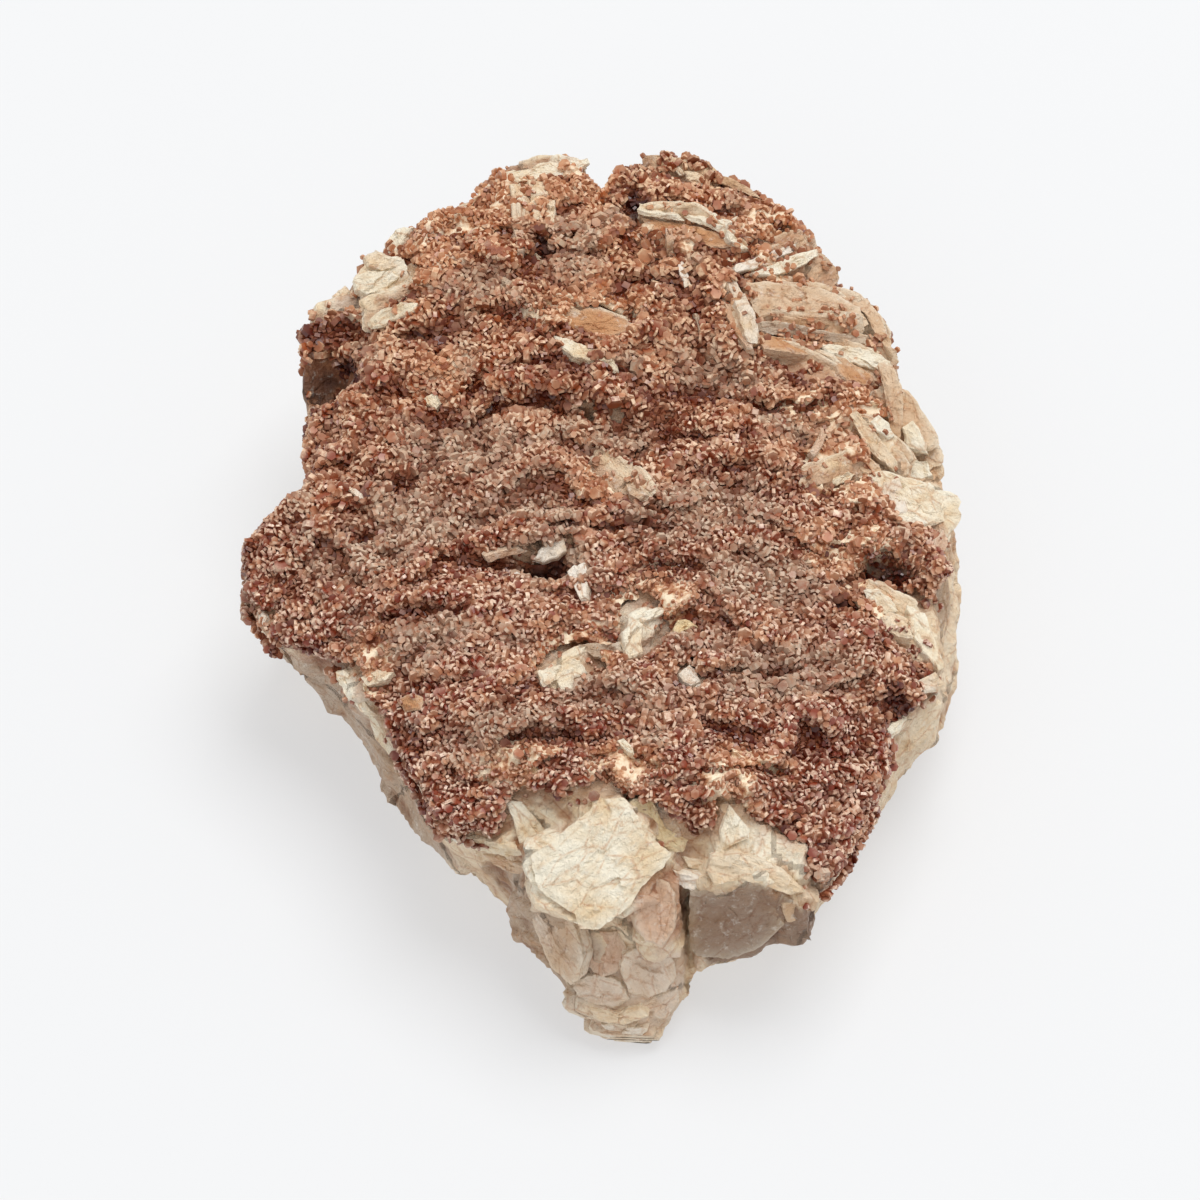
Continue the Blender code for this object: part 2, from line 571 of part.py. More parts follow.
def finish(obj, colour, roughness, specular):
    """Moves the piece so that the base's middle is the origin, and gives it its material."""
    obj.data.transform(Matrix.Translation(Vector((*DRAWN_MIDDLE, BASE_TRIM)) * -MM))
    material = bpy.data.materials.new(obj.name)
    material.use_nodes = True
    shader = material.node_tree.nodes["Principled BSDF"]
    shader.inputs["Base Color"].default_value = (*colour, 1.0)
    shader.inputs["Roughness"].default_value = roughness
    shader.inputs["Metallic"].default_value = 0.0
    shader.inputs["Specular IOR Level"].default_value = specular
    obj.data.materials.clear()
    obj.data.materials.append(material)


def main():
    for obj in list(bpy.data.objects):
        bpy.data.objects.remove(obj)
    parts = bpy.data.collections.new("vanadinite_specimen")
    tools = bpy.data.collections.new("cutters")
    for collection in (parts, tools):
        bpy.context.scene.collection.children.link(collection)
    body = barite_body(tools)
    plates = wall_plates()
    matrix = barite_matrix(body, plates, parts, tools)
    crust = vanadinite_crust(body, plates, parts, tools)
    finish(matrix, (0.66, 0.52, 0.40), 0.55, 0.5)
    finish(crust, (0.33, 0.10, 0.055), 0.30, 0.8)
    tools.hide_render = True


main()
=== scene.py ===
"""The looks of the vanadinite specimen: crystals on the crust, blades of barite, and their materials.

Lengths are in millimetres until a mesh is made, and in metres there. Places are drawn round the middle of the
crust, as the part's own outlines are, and DRAWN moves them to the part's frame.
"""

import math
import random

import bpy
import numpy as np
from mathutils import Matrix, Vector, noise
from mathutils.bvhtree import BVHTree
from mathutils.kdtree import KDTree


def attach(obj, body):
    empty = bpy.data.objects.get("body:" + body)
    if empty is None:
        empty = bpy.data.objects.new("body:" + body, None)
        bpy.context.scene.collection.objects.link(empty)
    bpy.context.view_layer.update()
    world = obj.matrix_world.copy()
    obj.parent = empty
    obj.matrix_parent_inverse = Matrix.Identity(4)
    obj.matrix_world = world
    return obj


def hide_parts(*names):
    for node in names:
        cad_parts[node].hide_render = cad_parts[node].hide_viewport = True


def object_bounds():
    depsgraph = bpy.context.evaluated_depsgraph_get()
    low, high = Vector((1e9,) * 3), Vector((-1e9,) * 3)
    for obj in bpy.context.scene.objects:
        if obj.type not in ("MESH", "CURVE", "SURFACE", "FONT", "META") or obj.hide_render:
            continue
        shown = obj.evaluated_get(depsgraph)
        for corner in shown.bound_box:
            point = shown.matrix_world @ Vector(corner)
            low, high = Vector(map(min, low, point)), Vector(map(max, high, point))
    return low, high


MM = 0.001
TURN = 2 * math.pi
SEED = 5

# From the drawing to the part's frame
DRAWN = np.array((0.42, 5.37, 0.5))

# Camera
CAMERA_TARGET = (-0.42, -5.37, 24.5)
CAMERA_DISTANCE = 900.0
CAMERA_ELEVATION = 55.0
CAMERA_LENS = 162.0
SENSOR = 36.0

# Photograph
PHOTO_SIDE = 1200
PIXELS_A_MM = 6

# Cells of the even meshes, in millimetres
ROCK_VOXEL = 0.88
BED_VOXEL = 0.66

# Crystals, in millimetres where they are lengths
CRYSTAL_TRIES = 120000
CRYSTAL_MOST = 26500
CRYSTAL_GAP = 0.6
CRYSTAL_RADIUS = (0.42, 0.8)
CRYSTAL_TALL = (0.3, 0.62)
CRYSTALS_A_PIECE = 9000
RIM = (1, 1, 1, 1, 1, 1, 0, 0)
SPRINKLED_TRIES = 30000
SPRINKLED_MOST = 4200
BOX_MARGIN = 0.05

# Small ledges in the crust: (distance between them, lift, length of one), all in millimetres
LEDGES = [(9.0, 3.0, 13.0), (4.6, 2.0, 6.0), (2.3, 0.9, 3.0)]
LEDGE_HEADING = 10.0
BED_DEEPEST = 1.9
PIT_DEPTH = 2.2
DENT_DEPTH = 1.5

# Outline of a bare block: pixels between its points, and how far they stray
BLOCK_STEP = 2.7
BLOCK_STRAY = 1.6

# Where the noise of each kind of patch starts, so that each keeps its own ragged rim
PIT_SEED = 151.0
DENT_SEED = 155.0
THIN_SEED = 161.0

# Lamps: (name, place and side in metres, power in watts)
LAMPS = [("key", (0.6, 0.8, 2.8), 1.9, 58.0), ("fill", (-1.0, -1.8, 2.2), 1.8, 8.0)]
SKY_LIGHT = 0.6
FLOOR_SIDE = 14.0


def linear(*shown):
    """The light, with full cover, of a colour that a screen shows with these numbers of 0 to 255."""
    shares = [value / 255 for value in shown]
    return (*(s / 12.92 if s <= 0.04045 else ((s + 0.055) / 1.055) ** 2.4 for s in shares), 1.0)


TONES = {
    tone: np.array(linear(*shown)[:3])
    for tone, shown in {
        "cream": (255, 246, 224),
        "yellow": (252, 234, 192),
        "tan": (228, 196, 162),
        "orange": (212, 158, 110),
        "rust": (178, 116, 78),
        "pink": (222, 186, 158),
        "grey": (204, 182, 160),
        "brown": (160, 132, 110),
        "shell": (234, 212, 190),
        "pale": (248, 228, 198),
        "chalk": (252, 242, 228),
        "dark": (110, 72, 48),
    }.items()
}

# Where the barite has each tone: (x, y, z) of the middle, (x, y, z) half sizes. The "dark" zone is painted shade in
# the hollow at the left corner, and the "brown" zone is brown darkened as painted shade on the front face of the
# lens.
ZONES = [
    ("pale", (56, 15, 24), (16, 46, 30)),
    ("tan", (56, 22, 33), (9, 20, 9)),
    ("cream", (54, 10, 35), (9, 7, 6)),
    ("tan", (37, 46, 42), (20, 22, 14)),
    ("cream", (-38, 60, 36), (20, 18, 14)),
    ("grey", (-44, -26, 16), (30, 26, 14.0)),
    ("cream", (-40, -24, 32.5), (7, 14, 3.2)),
    ("cream", (-24, -52, 31), (18, 5, 2.6)),
    ("grey", (-12, -62, 14), (13, 16, 13)),
    ("cream", (0, -56, 34), (15, 13, 8)),
    ("pink", (9.5, -60, 26), (6, 6, 11)),
    # Painted shade: the front face of the lens, brown and darker.
    ("brown", (26, -62, 20), (12, 7, 13)),
    ("cream", (26, -57, 34), (12, 7, 2.6)),
    ("shell", (8, -66, 12), (8, 6, 7)),
    ("shell", (3, -70, 5), (12, 9, 6)),
    ("cream", (-9, 82, 42), (9, 7, 8)),
    ("cream", (-5, -24, 40), (9, 8, 8)),
    ("cream", (7, -16, 41), (5, 6, 6)),
    # Painted shade in the hollow at the left corner.
    ("dark", (-44, 41, 31), (7, 7, 8)),
]

# Where the crust is thin and the barite shows between the crystals: (x, y, half width, half depth)
THIN = [
    (-22, 68, 18, 9), (-8, 76, 11, 8), (-36, 56, 14, 11), (-2, 43, 12, 6), (40, 15, 9, 9), (46, 22, 8, 16),
    (42, 0, 10, 6), (36, 27, 8, 5), (-13, -42, 8, 4), (-4, -22, 9, 7), (8, -13, 9, 7), (50, 15, 7, 9),
    (14, 62, 11, 7), (36, 51, 16, 14), (-26, 34, 7, 3), (4, -44, 7, 4), (20, -46, 6, 5), (46, -9, 9, 6),
    (-37, -19, 4, 7), (0, 10, 6, 4), (30, 66, 10, 5), (24, -42, 6, 4),
]

# Where grey dust lies: (x, y, half width, half depth)
DUSTY = [
    (-22, 18, 11, 7), (3, 20, 8, 5), (20, 34, 9, 5), (27, -8, 11, 7), (-5, 56, 6, 9), (-38, -1, 12, 6),
    (-29, -18, 10, 4), (-30, 5, 11, 6), (0, -30, 11, 5), (-16, -37, 10, 5), (-20, 49, 8, 5), (-9, -4, 7, 5),
    (34, 24, 8, 6), (32, -24, 11, 6), (12, 4, 10, 7), (22, 6, 8, 6), (14, 57, 6, 4), (-12, 8, 9, 6),
]

# Where the crystals are clean and deep red: (x, y, half width, half depth)
RED = [
    (-54, 4, 9, 12), (-44, -12, 9, 4), (-30, -32, 9, 9), (-22, -46, 12, 6), (4, 29, 14, 5), (-14, 30, 10, 5),
    (38, -38, 14, 9), (28, -52, 10, 7), (45, 2, 9, 4), (40, 6, 8, 4), (26, 66, 12, 5), (46, 56, 6, 8),
    (-18, -6, 6, 3), (-10, -44, 14, 4), (8, 46, 8, 4), (-24, 62, 9, 4), (12, -46, 8, 4), (-34, 30, 8, 6),
    (40, -16, 9, 3),
]

# Pits that light doesn't reach well: (x, y, half width, half depth)
DARK = [
    (-44.5, 39, 4.5, 3.5), (-8.6, -3.6, 4.6, 1.9), (-10, 58, 2.4, 3), (47, -1, 5, 2.2), (48, -26, 2.4, 2),
    (16, -55, 3, 3), (40, -10.7, 3, 1.6), (6, 67, 2, 4),
]

# Shallower hollows between the clumps: (x, y, half width, half depth)
DENTS = [
    (-30, -13.5, 8, 1.5), (-17, 43, 6, 2), (36, 12, 4, 2.5), (17, 30, 5, 2.5), (25, 14, 5, 1.8), (-4, 33, 10, 1.6),
    (-26, 24, 7, 1.6), (12, -6, 7, 1.5), (28, -24, 6, 1.6), (-12, 26, 8, 1.5), (8, 51, 6, 1.8), (-34, 12, 5, 1.6),
    (33, 61, 7, 1.6), (-45, 46, 5, 3), (6, 2, 8, 1.4), (-22, -3, 7, 1.4), (-8, -38, 8, 1.5), (20, -36, 7, 1.5),
    (14, 20, 7, 1.5), (-30, 40, 5, 1.6), (-42, 4, 6, 1.5),
]


def spots(points, places, seed):
    """0 to 1 at each point, by how far it is inside the nearest of the places."""
    at = drawn(points)
    ragged = 0.45 * rough(points, 4.0, seed) + 0.25 * rough(points, 1.8, seed + 3)
    share = np.zeros(len(points))
    for x, y, half_wide, half_deep in places:
        away = np.hypot((at[:, 0] - x) / half_wide, (at[:, 1] - y) / half_deep)
        share = np.maximum(share, smooth_step(1.2, 0.55, away + ragged))
    return share


def smooth_step(low, high, value):
    share = np.clip((value - low) / (high - low), 0.0, 1.0)
    return share * share * (3 - 2 * share)


def rough(points, grain, offset=0.0):
    """Smooth noise between about -1 and 1 at each point, with lumps of that grain in millimetres."""
    places = (points / grain + offset).tolist()
    return np.array([noise.noise(place) for place in places])


def drawn(points):
    return points + DRAWN


def node_mesh(name):
    """(points in mm, triangles) of a CAD node."""
    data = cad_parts[name].data
    data.calc_loop_triangles()
    points = np.empty(len(data.vertices) * 3, np.float32)
    data.vertices.foreach_get("co", points)
    faces = np.empty(len(data.loop_triangles) * 3, np.int32)
    data.loop_triangles.foreach_get("vertices", faces)
    return points.reshape(-1, 3).astype(float) / MM, faces.reshape(-1, 3)


def tree_of(points, faces):
    return BVHTree.FromPolygons(points.tolist(), [[int(corner) for corner in face] for face in faces])


def joined(*meshes):
    """Several (points, faces, more values for each point) as one."""
    faces, start = [], 0
    for points, own_faces, *_ in meshes:
        faces += [tuple(corner + start for corner in face) for face in own_faces]
        start += len(points)
    points, *more = (np.concatenate(parts) for parts in zip(*[(mesh[0], *mesh[2:]) for mesh in meshes]))
    return points, faces, *more


def unit(vectors):
    return vectors / np.linalg.norm(vectors, axis=1, keepdims=True)


def mixed(colours, tone, share):
    """The colours with that share of the tone over them."""
    share = share[:, None]
    return colours * (1 - share) + TONES[tone] * share


def new_piece(name, points, faces, slot, *node_names):
    data = bpy.data.meshes.new(name)
    data.from_pydata((points * MM).tolist(), [], faces)
    obj = bpy.data.objects.new(name, data)
    bpy.context.scene.collection.objects.link(obj)
    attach(obj, "root")
    if node_names:
        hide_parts(*node_names)
    return obj


def without_specks(points, normals, faces, least=40):
    """Drops the loose grains that thin places leave in an even mesh."""
    parent = list(range(len(points)))

    def root_of(index):
        while parent[index] != index:
            parent[index] = parent[parent[index]]
            index = parent[index]
        return index

    for face in faces:
        for corner in face[1:]:
            parent[root_of(corner)] = root_of(face[0])
    roots = np.array([root_of(index) for index in range(len(points))])
    kept = np.bincount(roots, minlength=len(points))[roots] >= least
    number = (np.cumsum(kept) - 1).tolist()
    faces = [tuple(number[corner] for corner in face) for face in faces if kept[face[0]]]
    return points[kept], normals[kept], faces


def remeshed(name, voxel):
    """A CAD node's points, normals and faces, as an even mesh with cells of that size."""
    points, faces = node_mesh(name)
    data = bpy.data.meshes.new("even")
    data.from_pydata((points * MM).tolist(), [], faces.tolist())
    obj = bpy.data.objects.new("even", data)
    bpy.context.scene.collection.objects.link(obj)
    step = obj.modifiers.new("even", "REMESH")
    step.mode = "VOXEL"
    step.voxel_size = voxel * MM
    graph = bpy.context.evaluated_depsgraph_get()
    even = bpy.data.meshes.new_from_object(obj.evaluated_get(graph))
    bpy.data.objects.remove(obj)
    points = np.array([point.co for point in even.vertices], float) / MM
    normals = np.array([point.vector for point in even.vertex_normals], float)
    faces = [tuple(face.vertices) for face in even.polygons]
    bpy.data.meshes.remove(even)
    return without_specks(points, normals, faces)


def box_limits():
    low, high = (np.array(corner) / MM for corner in cad_box)
    return low + BOX_MARGIN, high - BOX_MARGIN


def inside_box(points):
    return np.clip(points, *box_limits())


def paint(obj, name, colours):
    """Stores a colour for each point of the piece."""
    layer = obj.data.attributes.new(name, "FLOAT_COLOR", "POINT")
    values = np.ones((len(colours), 4), np.float32)
    values[:, :3] = colours
    layer.data.foreach_set("color", values.ravel())


def mark(obj, name, domain, values):
    """Stores a number, or a place, for each point or face of the piece."""
    values = np.asarray(values, np.float32)
    kind, field = ("FLOAT", "value") if values.ndim == 1 else ("FLOAT_VECTOR", "vector")
    obj.data.attributes.new(name, kind, domain).data.foreach_set(field, values.ravel())


def barite_tone(points, crust_tree):
    """The barite's colour at each point, by zone (two zones are painted shade), and rusty near the crust."""
    at = drawn(points)
    wander = np.stack([rough(points, 5.0, seed) for seed in (3.0, 11.0, 19.0)], axis=1) * 3.0
    colours = np.tile(TONES["pale"], (len(points), 1))
    for tone, middle, half in ZONES:
        away = np.linalg.norm((at + wander - middle) / np.array(half), axis=1)
        colours = mixed(colours, tone, smooth_step(1.12, 0.85, away))
    near = np.array([crust_tree.find_nearest(place, 6.0)[3] or 6.0 for place in points.tolist()])
    patch = rough(points, 2.4, 40.0) + 0.6 * rough(points, 7.0, 50.0)
    colours = mixed(colours, "rust", smooth_step(2.8, 0.2, near + 2.4 * patch) * 0.5)
    fan = np.exp(-(((at[:, 0] - 37) / 14) ** 2) - ((at[:, 1] - 48) / 12) ** 2)
    veins = smooth_step(0.1, 0.4, rough(points * (1, 1, 1.6), 2.0, 57.0) + 0.2 * fan - 0.15)
    return mixed(colours, "orange", veins * 0.4)


def nearest_of(seeds, places):
    """The number of the seed that is nearest to each place."""
    tree = KDTree(len(seeds))
    for number, seed in enumerate(seeds.tolist()):
        tree.insert(seed, number)
    tree.balance()
    return np.array([tree.find(place)[1] for place in places.tolist()])


def cleavage(points):
    """The frame of the intergrown blade that each point belongs to: (number, long way, cross way, way across)."""
    draw = np.random.default_rng(SEED)
    seeds = draw.uniform(-1, 1, (90, 3)) * (62, 80, 25) + (0, 0, 24)
    across = unit(draw.normal(size=(90, 3)) * (0.5, 0.8, 1.3))
    along = unit(np.cross(across, draw.normal(size=(90, 3))))
    beside = np.cross(across, along)
    wander = np.stack([rough(points, 7.0, seed) for seed in (61.0, 67.0, 71.0)], axis=1) * 4.0
    owner = nearest_of(seeds, points + wander)
    return owner, along[owner], beside[owner], across[owner]


def chance(numbers):
    """A share of 0 to 1 for each number, the same each time."""
    value = np.sin(numbers * 12.9898) * 43758.5453
    return value - np.floor(value)


def cleaved(points, normals):
    """The rock with small steps, chips and grain: its points, their place in their blade, and the lift."""
    owner, along, beside, across = cleavage(points)
    depth = (points * across).sum(axis=1) + 0.7 * rough(points, 6.0, 77.0)
    steps = chance(np.floor(depth / 1.7) + owner * 4.1) - 0.6
    slips = chance(np.floor((points * beside).sum(axis=1) / 3.4) + owner * 7.7) - 0.5
    lift = 0.8 * steps + 0.45 * slips + 0.5 * rough(points, 3.2, 81.0) + 0.2 * rough(points, 1.4, 87.0)
    lift *= smooth_step(0.3, 2.5, points[:, 2])
    own = np.stack([(points * way).sum(axis=1) for way in (along, beside, across)], axis=1)
    return points + normals * lift[:, None], own + owner[:, None] * 3.0, lift


def small_ledges(points):
    """(lift, move to the front) in mm of the small ledges that the crystals stand on."""
    at = drawn(points)
    heading = math.radians(LEDGE_HEADING)
    total, front = np.zeros(len(points)), np.zeros(len(points))
    for number, (pitch, rise, run) in enumerate(LEDGES):
        warp = pitch * (1.1 * rough(points, run * 1.6, 5.0 + number) + 0.6 * rough(points, run * 0.7, 15.0 + number))
        band = (at[:, 1] * math.cos(heading) - at[:, 0] * math.sin(heading) + warp) / pitch
        phase = band - np.floor(band)
        strong = smooth_step(-0.35, 0.45, rough(points, run, 25.0 + number))
        lift = (1 - phase) * smooth_step(0.0, 0.14, phase)
        total += rise * strong * (lift - 0.4)
        front += 0.7 * rise * strong * lift
    return total, front


def crust_bed(matrix_tree):
    """The crust with its small ledges: points, faces, which points face out, and the relief there."""
    points, normals, faces = remeshed("vanadinite_crust", BED_VOXEL)
    outer = np.ones(len(points))
    for index, (place, normal) in enumerate(zip(points.tolist(), normals.tolist())):
        start = Vector(place) + Vector(normal) * 0.05
        if matrix_tree.ray_cast(start, Vector(normal), 1.6)[0] is not None:
            outer[index] = 0.0
    upward = outer * smooth_step(-0.1, 0.6, normals[:, 2])
    lift, front = small_ledges(points)
    rear = smooth_step(-15, 35, points[:, 1])
    lift += (0.8 + 0.6 * rear) * rough(points * (0.62, 1.0, 1.0), 2.2, 29.0)
    lift += (0.4 + 1.1 * rear) * rough(points * (0.7, 1.0, 1.0), 4.5, 31.0)
    grain = 0.35 * rough(points, 1.3, 33.0)
    lift -= PIT_DEPTH * spots(points, DARK, PIT_SEED) + DENT_DEPTH * spots(points, DENTS, DENT_SEED)
    relief = lift + grain
    points = points.copy()
    points[:, 2] += np.maximum(lift, -BED_DEEPEST) * upward
    points[:, 1] -= front * upward
    points += normals * (grain * outer)[:, None]
    return inside_box(points), faces, outer, relief


def triangles_of(points, faces):
    """(corner numbers of each triangle, its area, its normal)."""
    corners = np.array([face[:3] for face in faces] + [(face[0],) + face[2:] for face in faces if len(face) == 4])
    a, b, c = (points[corners[:, index]] for index in range(3))
    normals = np.cross(b - a, c - a)
    areas = np.linalg.norm(normals, axis=1)
    return corners, areas / 2, normals / np.maximum(areas, 1e-9)[:, None]


def seats(points, faces, outer, relief, tries, most):
    """Places for crystals on a surface, none nearer than the gap: (places, normals, relief there)."""
    draw = np.random.default_rng(SEED)
    corners, areas, normals = triangles_of(points, faces)
    weights = areas * outer[corners].min(axis=1) * (normals[:, 2] > -0.35)
    chosen = draw.choice(len(corners), tries, p=weights / weights.sum())
    bare = spots(points, THIN, THIN_SEED) * smooth_step(-0.2, 0.1, rough(points, 2.0, 163.0))
    chosen = chosen[draw.random(tries) > 0.95 * bare[corners[chosen][:, 0]]]
    tries = len(chosen)
    shares = draw.dirichlet((1, 1, 1), tries)
    places = (points[corners[chosen]] * shares[:, :, None]).sum(axis=1)
    taken, kept = {}, []
    for index, place in enumerate(places.tolist()):
        cell = tuple(int(value // CRYSTAL_GAP) for value in place)
        around = [
            (cell[0] + dx, cell[1] + dy, cell[2] + dz)
            for dx in (-1, 0, 1) for dy in (-1, 0, 1) for dz in (-1, 0, 1)
        ]
        if any(math.dist(place, other) < CRYSTAL_GAP for spot in around for other in taken.get(spot, ())):
            continue
        taken.setdefault(cell, []).append(place)
        kept.append(index)
        if len(kept) == most:
            break
    risen = (relief[corners[chosen]] * shares).sum(axis=1)
    return places[kept], normals[chosen[kept]], risen[kept]


def prisms(places, normals, risen):
    """Hexagonal crystals: 12 points of each, and for each point its tip, clean, dust, height, thin and pit."""
    draw = np.random.default_rng(SEED + 1)
    count = len(places)
    tangents = unit(np.cross(normals, draw.normal(size=(count, 3))))
    upright = draw.uniform(-0.55, 0.75, count)[:, None]
    axes = tangents * np.sqrt(1 - upright**2) + normals * upright
    side = unit(np.cross(axes, draw.normal(size=(count, 3))))
    other = np.cross(axes, side)
    patch = 1 + 0.3 * rough(places, 9.0, 91.0) + 0.15 * smooth_step(-20, 40, places[:, 1])
    thin = spots(places, THIN, THIN_SEED)
    patch *= 1 - 0.22 * thin + 0.55 * (draw.random(count) > 0.96)
    radii = draw.uniform(*CRYSTAL_RADIUS, count) * patch
    talls = draw.uniform(*CRYSTAL_TALL, count) * patch
    angles = np.arange(6) * TURN / 6
    ring = (
        side[:, None, :] * np.cos(angles)[None, :, None] + other[:, None, :] * np.sin(angles)[None, :, None]
    ) * radii[:, None, None]
    middle = (places + normals * (0.3 * radii)[:, None])[:, None, :]
    half = (axes * talls[:, None] / 2)[:, None, :]
    points = np.concatenate([middle + ring - half, middle + ring + half], axis=1)
    above = ((points - places[:, None, :]) * normals[:, None, :]).sum(axis=2)
    tip = smooth_step(-0.1, 1.0, above / (radii[:, None] * 1.3))
    clump = rough(places * (1.0, 1.7, 1.7), 2.4, 113.0) + 0.5 * rough(places * (1.0, 1.6, 1.6), 5.0, 119.0)
    clean = smooth_step(-0.1, 0.25, clump + draw.uniform(-0.12, 0.12, count))
    high = smooth_step(-1.6, 1.6, risen + draw.uniform(-0.3, 0.3, count))
    dusty = np.maximum(spots(places, DUSTY, 171.0), smooth_step(0.25, 0.6, rough(places, 9.0, 101.0)))
    clean = clean * (1 - 0.6 * dusty)
    clean = np.maximum(clean, 0.85 * spots(places, RED, 175.0) * (clump > -0.25))
    dusty = dusty * (1 - 0.7 * clean)
    pits = np.maximum(spots(places, DARK, PIT_SEED), 0.35 * spots(places, DENTS, DENT_SEED))
    looks = [tip] + [np.repeat(value[:, None], 12, axis=1) for value in (clean, dusty, high, thin, pits)]
    return points, np.stack(looks, axis=2)


def sprinkled_on(points, crust_tree):
    """0 to 1 where a few crystals grow on the barite."""
    near = np.array([crust_tree.find_nearest(place, 7.0)[3] or 7.0 for place in points.tolist()])
    patch = rough(points, 2.4, 131.0) + 0.5 * rough(points, 6.0, 137.0)
    rich = spots(points, [(36, 52, 16, 13), (14, 76, 12, 6), (22, 66, 14, 5)], 181.0)
    close = smooth_step(4.5, 0.5, near) * smooth_step(0.0, 0.35, patch)
    share = np.maximum(close, rich * smooth_step(-0.25, 0.1, patch))
    behind = smooth_step(-50, -46, drawn(points)[:, 1])
    return share * ((points[:, 2] > 25) * (0.15 + 0.85 * behind))


def prism_faces(count):
    """Six sides and then two hexagons of each crystal, the order that RIM marks."""
    sides = [(k, (k + 1) % 6, (k + 1) % 6 + 6, k + 6) for k in range(6)]
    shape = sides + [tuple(range(5, -1, -1)), tuple(range(6, 12))]
    return [tuple(corner + 12 * index for corner in face) for index in range(count) for face in shape]


def kept_inside(points):
    """Moves each crystal that crosses the box back into it."""
    low, high = box_limits()
    over = np.maximum(points.max(axis=1) - high, 0)
    under = np.maximum(low - points.min(axis=1), 0)
    return points - over[:, None, :] + under[:, None, :]


def new_material(name):
    """A material, its tree and shader, and where each point is in the piece."""
    material = bpy.data.materials.new(name)
    material.use_nodes = True
    tree = material.node_tree
    return material, tree, tree.nodes["Principled BSDF"], add(tree, "ShaderNodeTexCoord").outputs["Object"]


def feed(tree, node, feeds):
    """Links or sets sockets of the node."""
    for socket, source in feeds.items():
        if isinstance(source, bpy.types.NodeSocket):
            tree.links.new(source, node.inputs[socket])
        else:
            node.inputs[socket].default_value = source


def add(tree, kind, feeds={}, **settings):
    """A new node, with its settings and with what feeds its sockets."""
    made = tree.nodes.new(kind)
    for key, value in settings.items():
        setattr(made, key, value)
    feed(tree, made, feeds)
    return made


def attribute(tree, name, output="Fac"):
    return add(tree, "ShaderNodeAttribute", attribute_name=name).outputs[output]


def noise_of(tree, place, scale, detail=4.0, roughness=0.6):
    feeds = {"Vector": place, "Scale": scale, "Detail": detail, "Roughness": roughness}
    return add(tree, "ShaderNodeTexNoise", feeds).outputs["Fac"]


def ramp(tree, value, low, high, start=0.0, end=1.0):
    """The value's way from low to high as a way from start to end."""
    feeds = {"Value": value, "From Min": low, "From Max": high, "To Min": start, "To Max": end}
    return add(tree, "ShaderNodeMapRange", feeds).outputs["Result"]


def blended(tree, share, first, second, blend="MIX"):
    """One colour over another, by that share of the second."""
    feeds = {0: share, 6: first, 7: second}
    return add(tree, "ShaderNodeMix", feeds, data_type="RGBA", blend_type=blend).outputs[2]


def tinted(tree, colour, *tint):
    return blended(tree, 1.0, colour, linear(*tint), "MULTIPLY")


def product(tree, first, second):
    return add(tree, "ShaderNodeMath", {0: first, 1: second}, operation="MULTIPLY").outputs["Value"]


def barite_material():
    material, tree, shader, place = new_material("barite")
    own = attribute(tree, "own", "Vector")
    tone = attribute(tree, "tone", "Color")
    low = attribute(tree, "low")
    stretched = add(tree, "ShaderNodeMapping", {"Vector": own, "Scale": (0.14, 0.6, 1.0)}).outputs["Vector"]
    streaks = noise_of(tree, stretched, 1700.0, 5.0)
    broad = noise_of(tree, place, 120.0, 5.0)
    fine = noise_of(tree, place, 700.0, 6.0, 0.7)
    facets = add(tree, "ShaderNodeMapping", {"Vector": own, "Scale": (0.5, 0.8, 1.0)}).outputs["Vector"]
    cells = add(tree, "ShaderNodeTexVoronoi", {"Vector": facets, "Scale": 1100.0}).outputs["Color"]
    facet = add(tree, "ShaderNodeSeparateColor", {"Color": cells}).outputs["Red"]
    worn = tinted(tree, tone, 238, 220, 196)
    colour = blended(tree, ramp(tree, broad, 0.42, 0.7), tone, worn)
    streaked = tinted(tree, colour, 236, 216, 194)
    colour = blended(tree, ramp(tree, streaks, 0.52, 0.8), colour, streaked)
    coarse = noise_of(tree, place, 330.0, 5.0, 0.65)
    cells = add(tree, "ShaderNodeTexVoronoi", {"Vector": facets, "Scale": 330.0}, feature="DISTANCE_TO_EDGE")
    lined = tinted(tree, colour, 214, 176, 144)
    thinly = product(tree, ramp(tree, cells.outputs["Distance"], 0.06, 0.0), ramp(tree, fine, 0.4, 0.62))
    colour = blended(tree, thinly, colour, lined)
    colour = blended(tree, ramp(tree, fine, 0.55, 0.75), colour, blended(tree, 0.6, colour, linear(254, 248, 236)))
    # Painted shade, tinted brown: the rock is darker where its surface is pushed in (low), in broad patches.
    hollow_shade = tinted(tree, colour, 180, 132, 96)
    colour = blended(tree, product(tree, low, ramp(tree, broad, 0.35, 0.55)), colour, hollow_shade)
    gloss = ramp(tree, noise_of(tree, place, 260.0), 0.0, 1.0, 0.35, 0.7)
    normal = None
    for height, strength, distance in (
        (coarse, 0.8, 0.0014), (facet, 0.8, 0.0004), (streaks, 0.6, 0.0005), (fine, 0.8, 0.0008)
    ):
        feeds = {"Height": height, "Strength": strength, "Distance": distance}
        if normal is not None:
            feeds["Normal"] = normal
        normal = add(tree, "ShaderNodeBump", feeds).outputs["Normal"]
    feed(tree, shader, {"Base Color": colour, "Roughness": gloss, "Normal": normal, "IOR": 1.6})
    return material


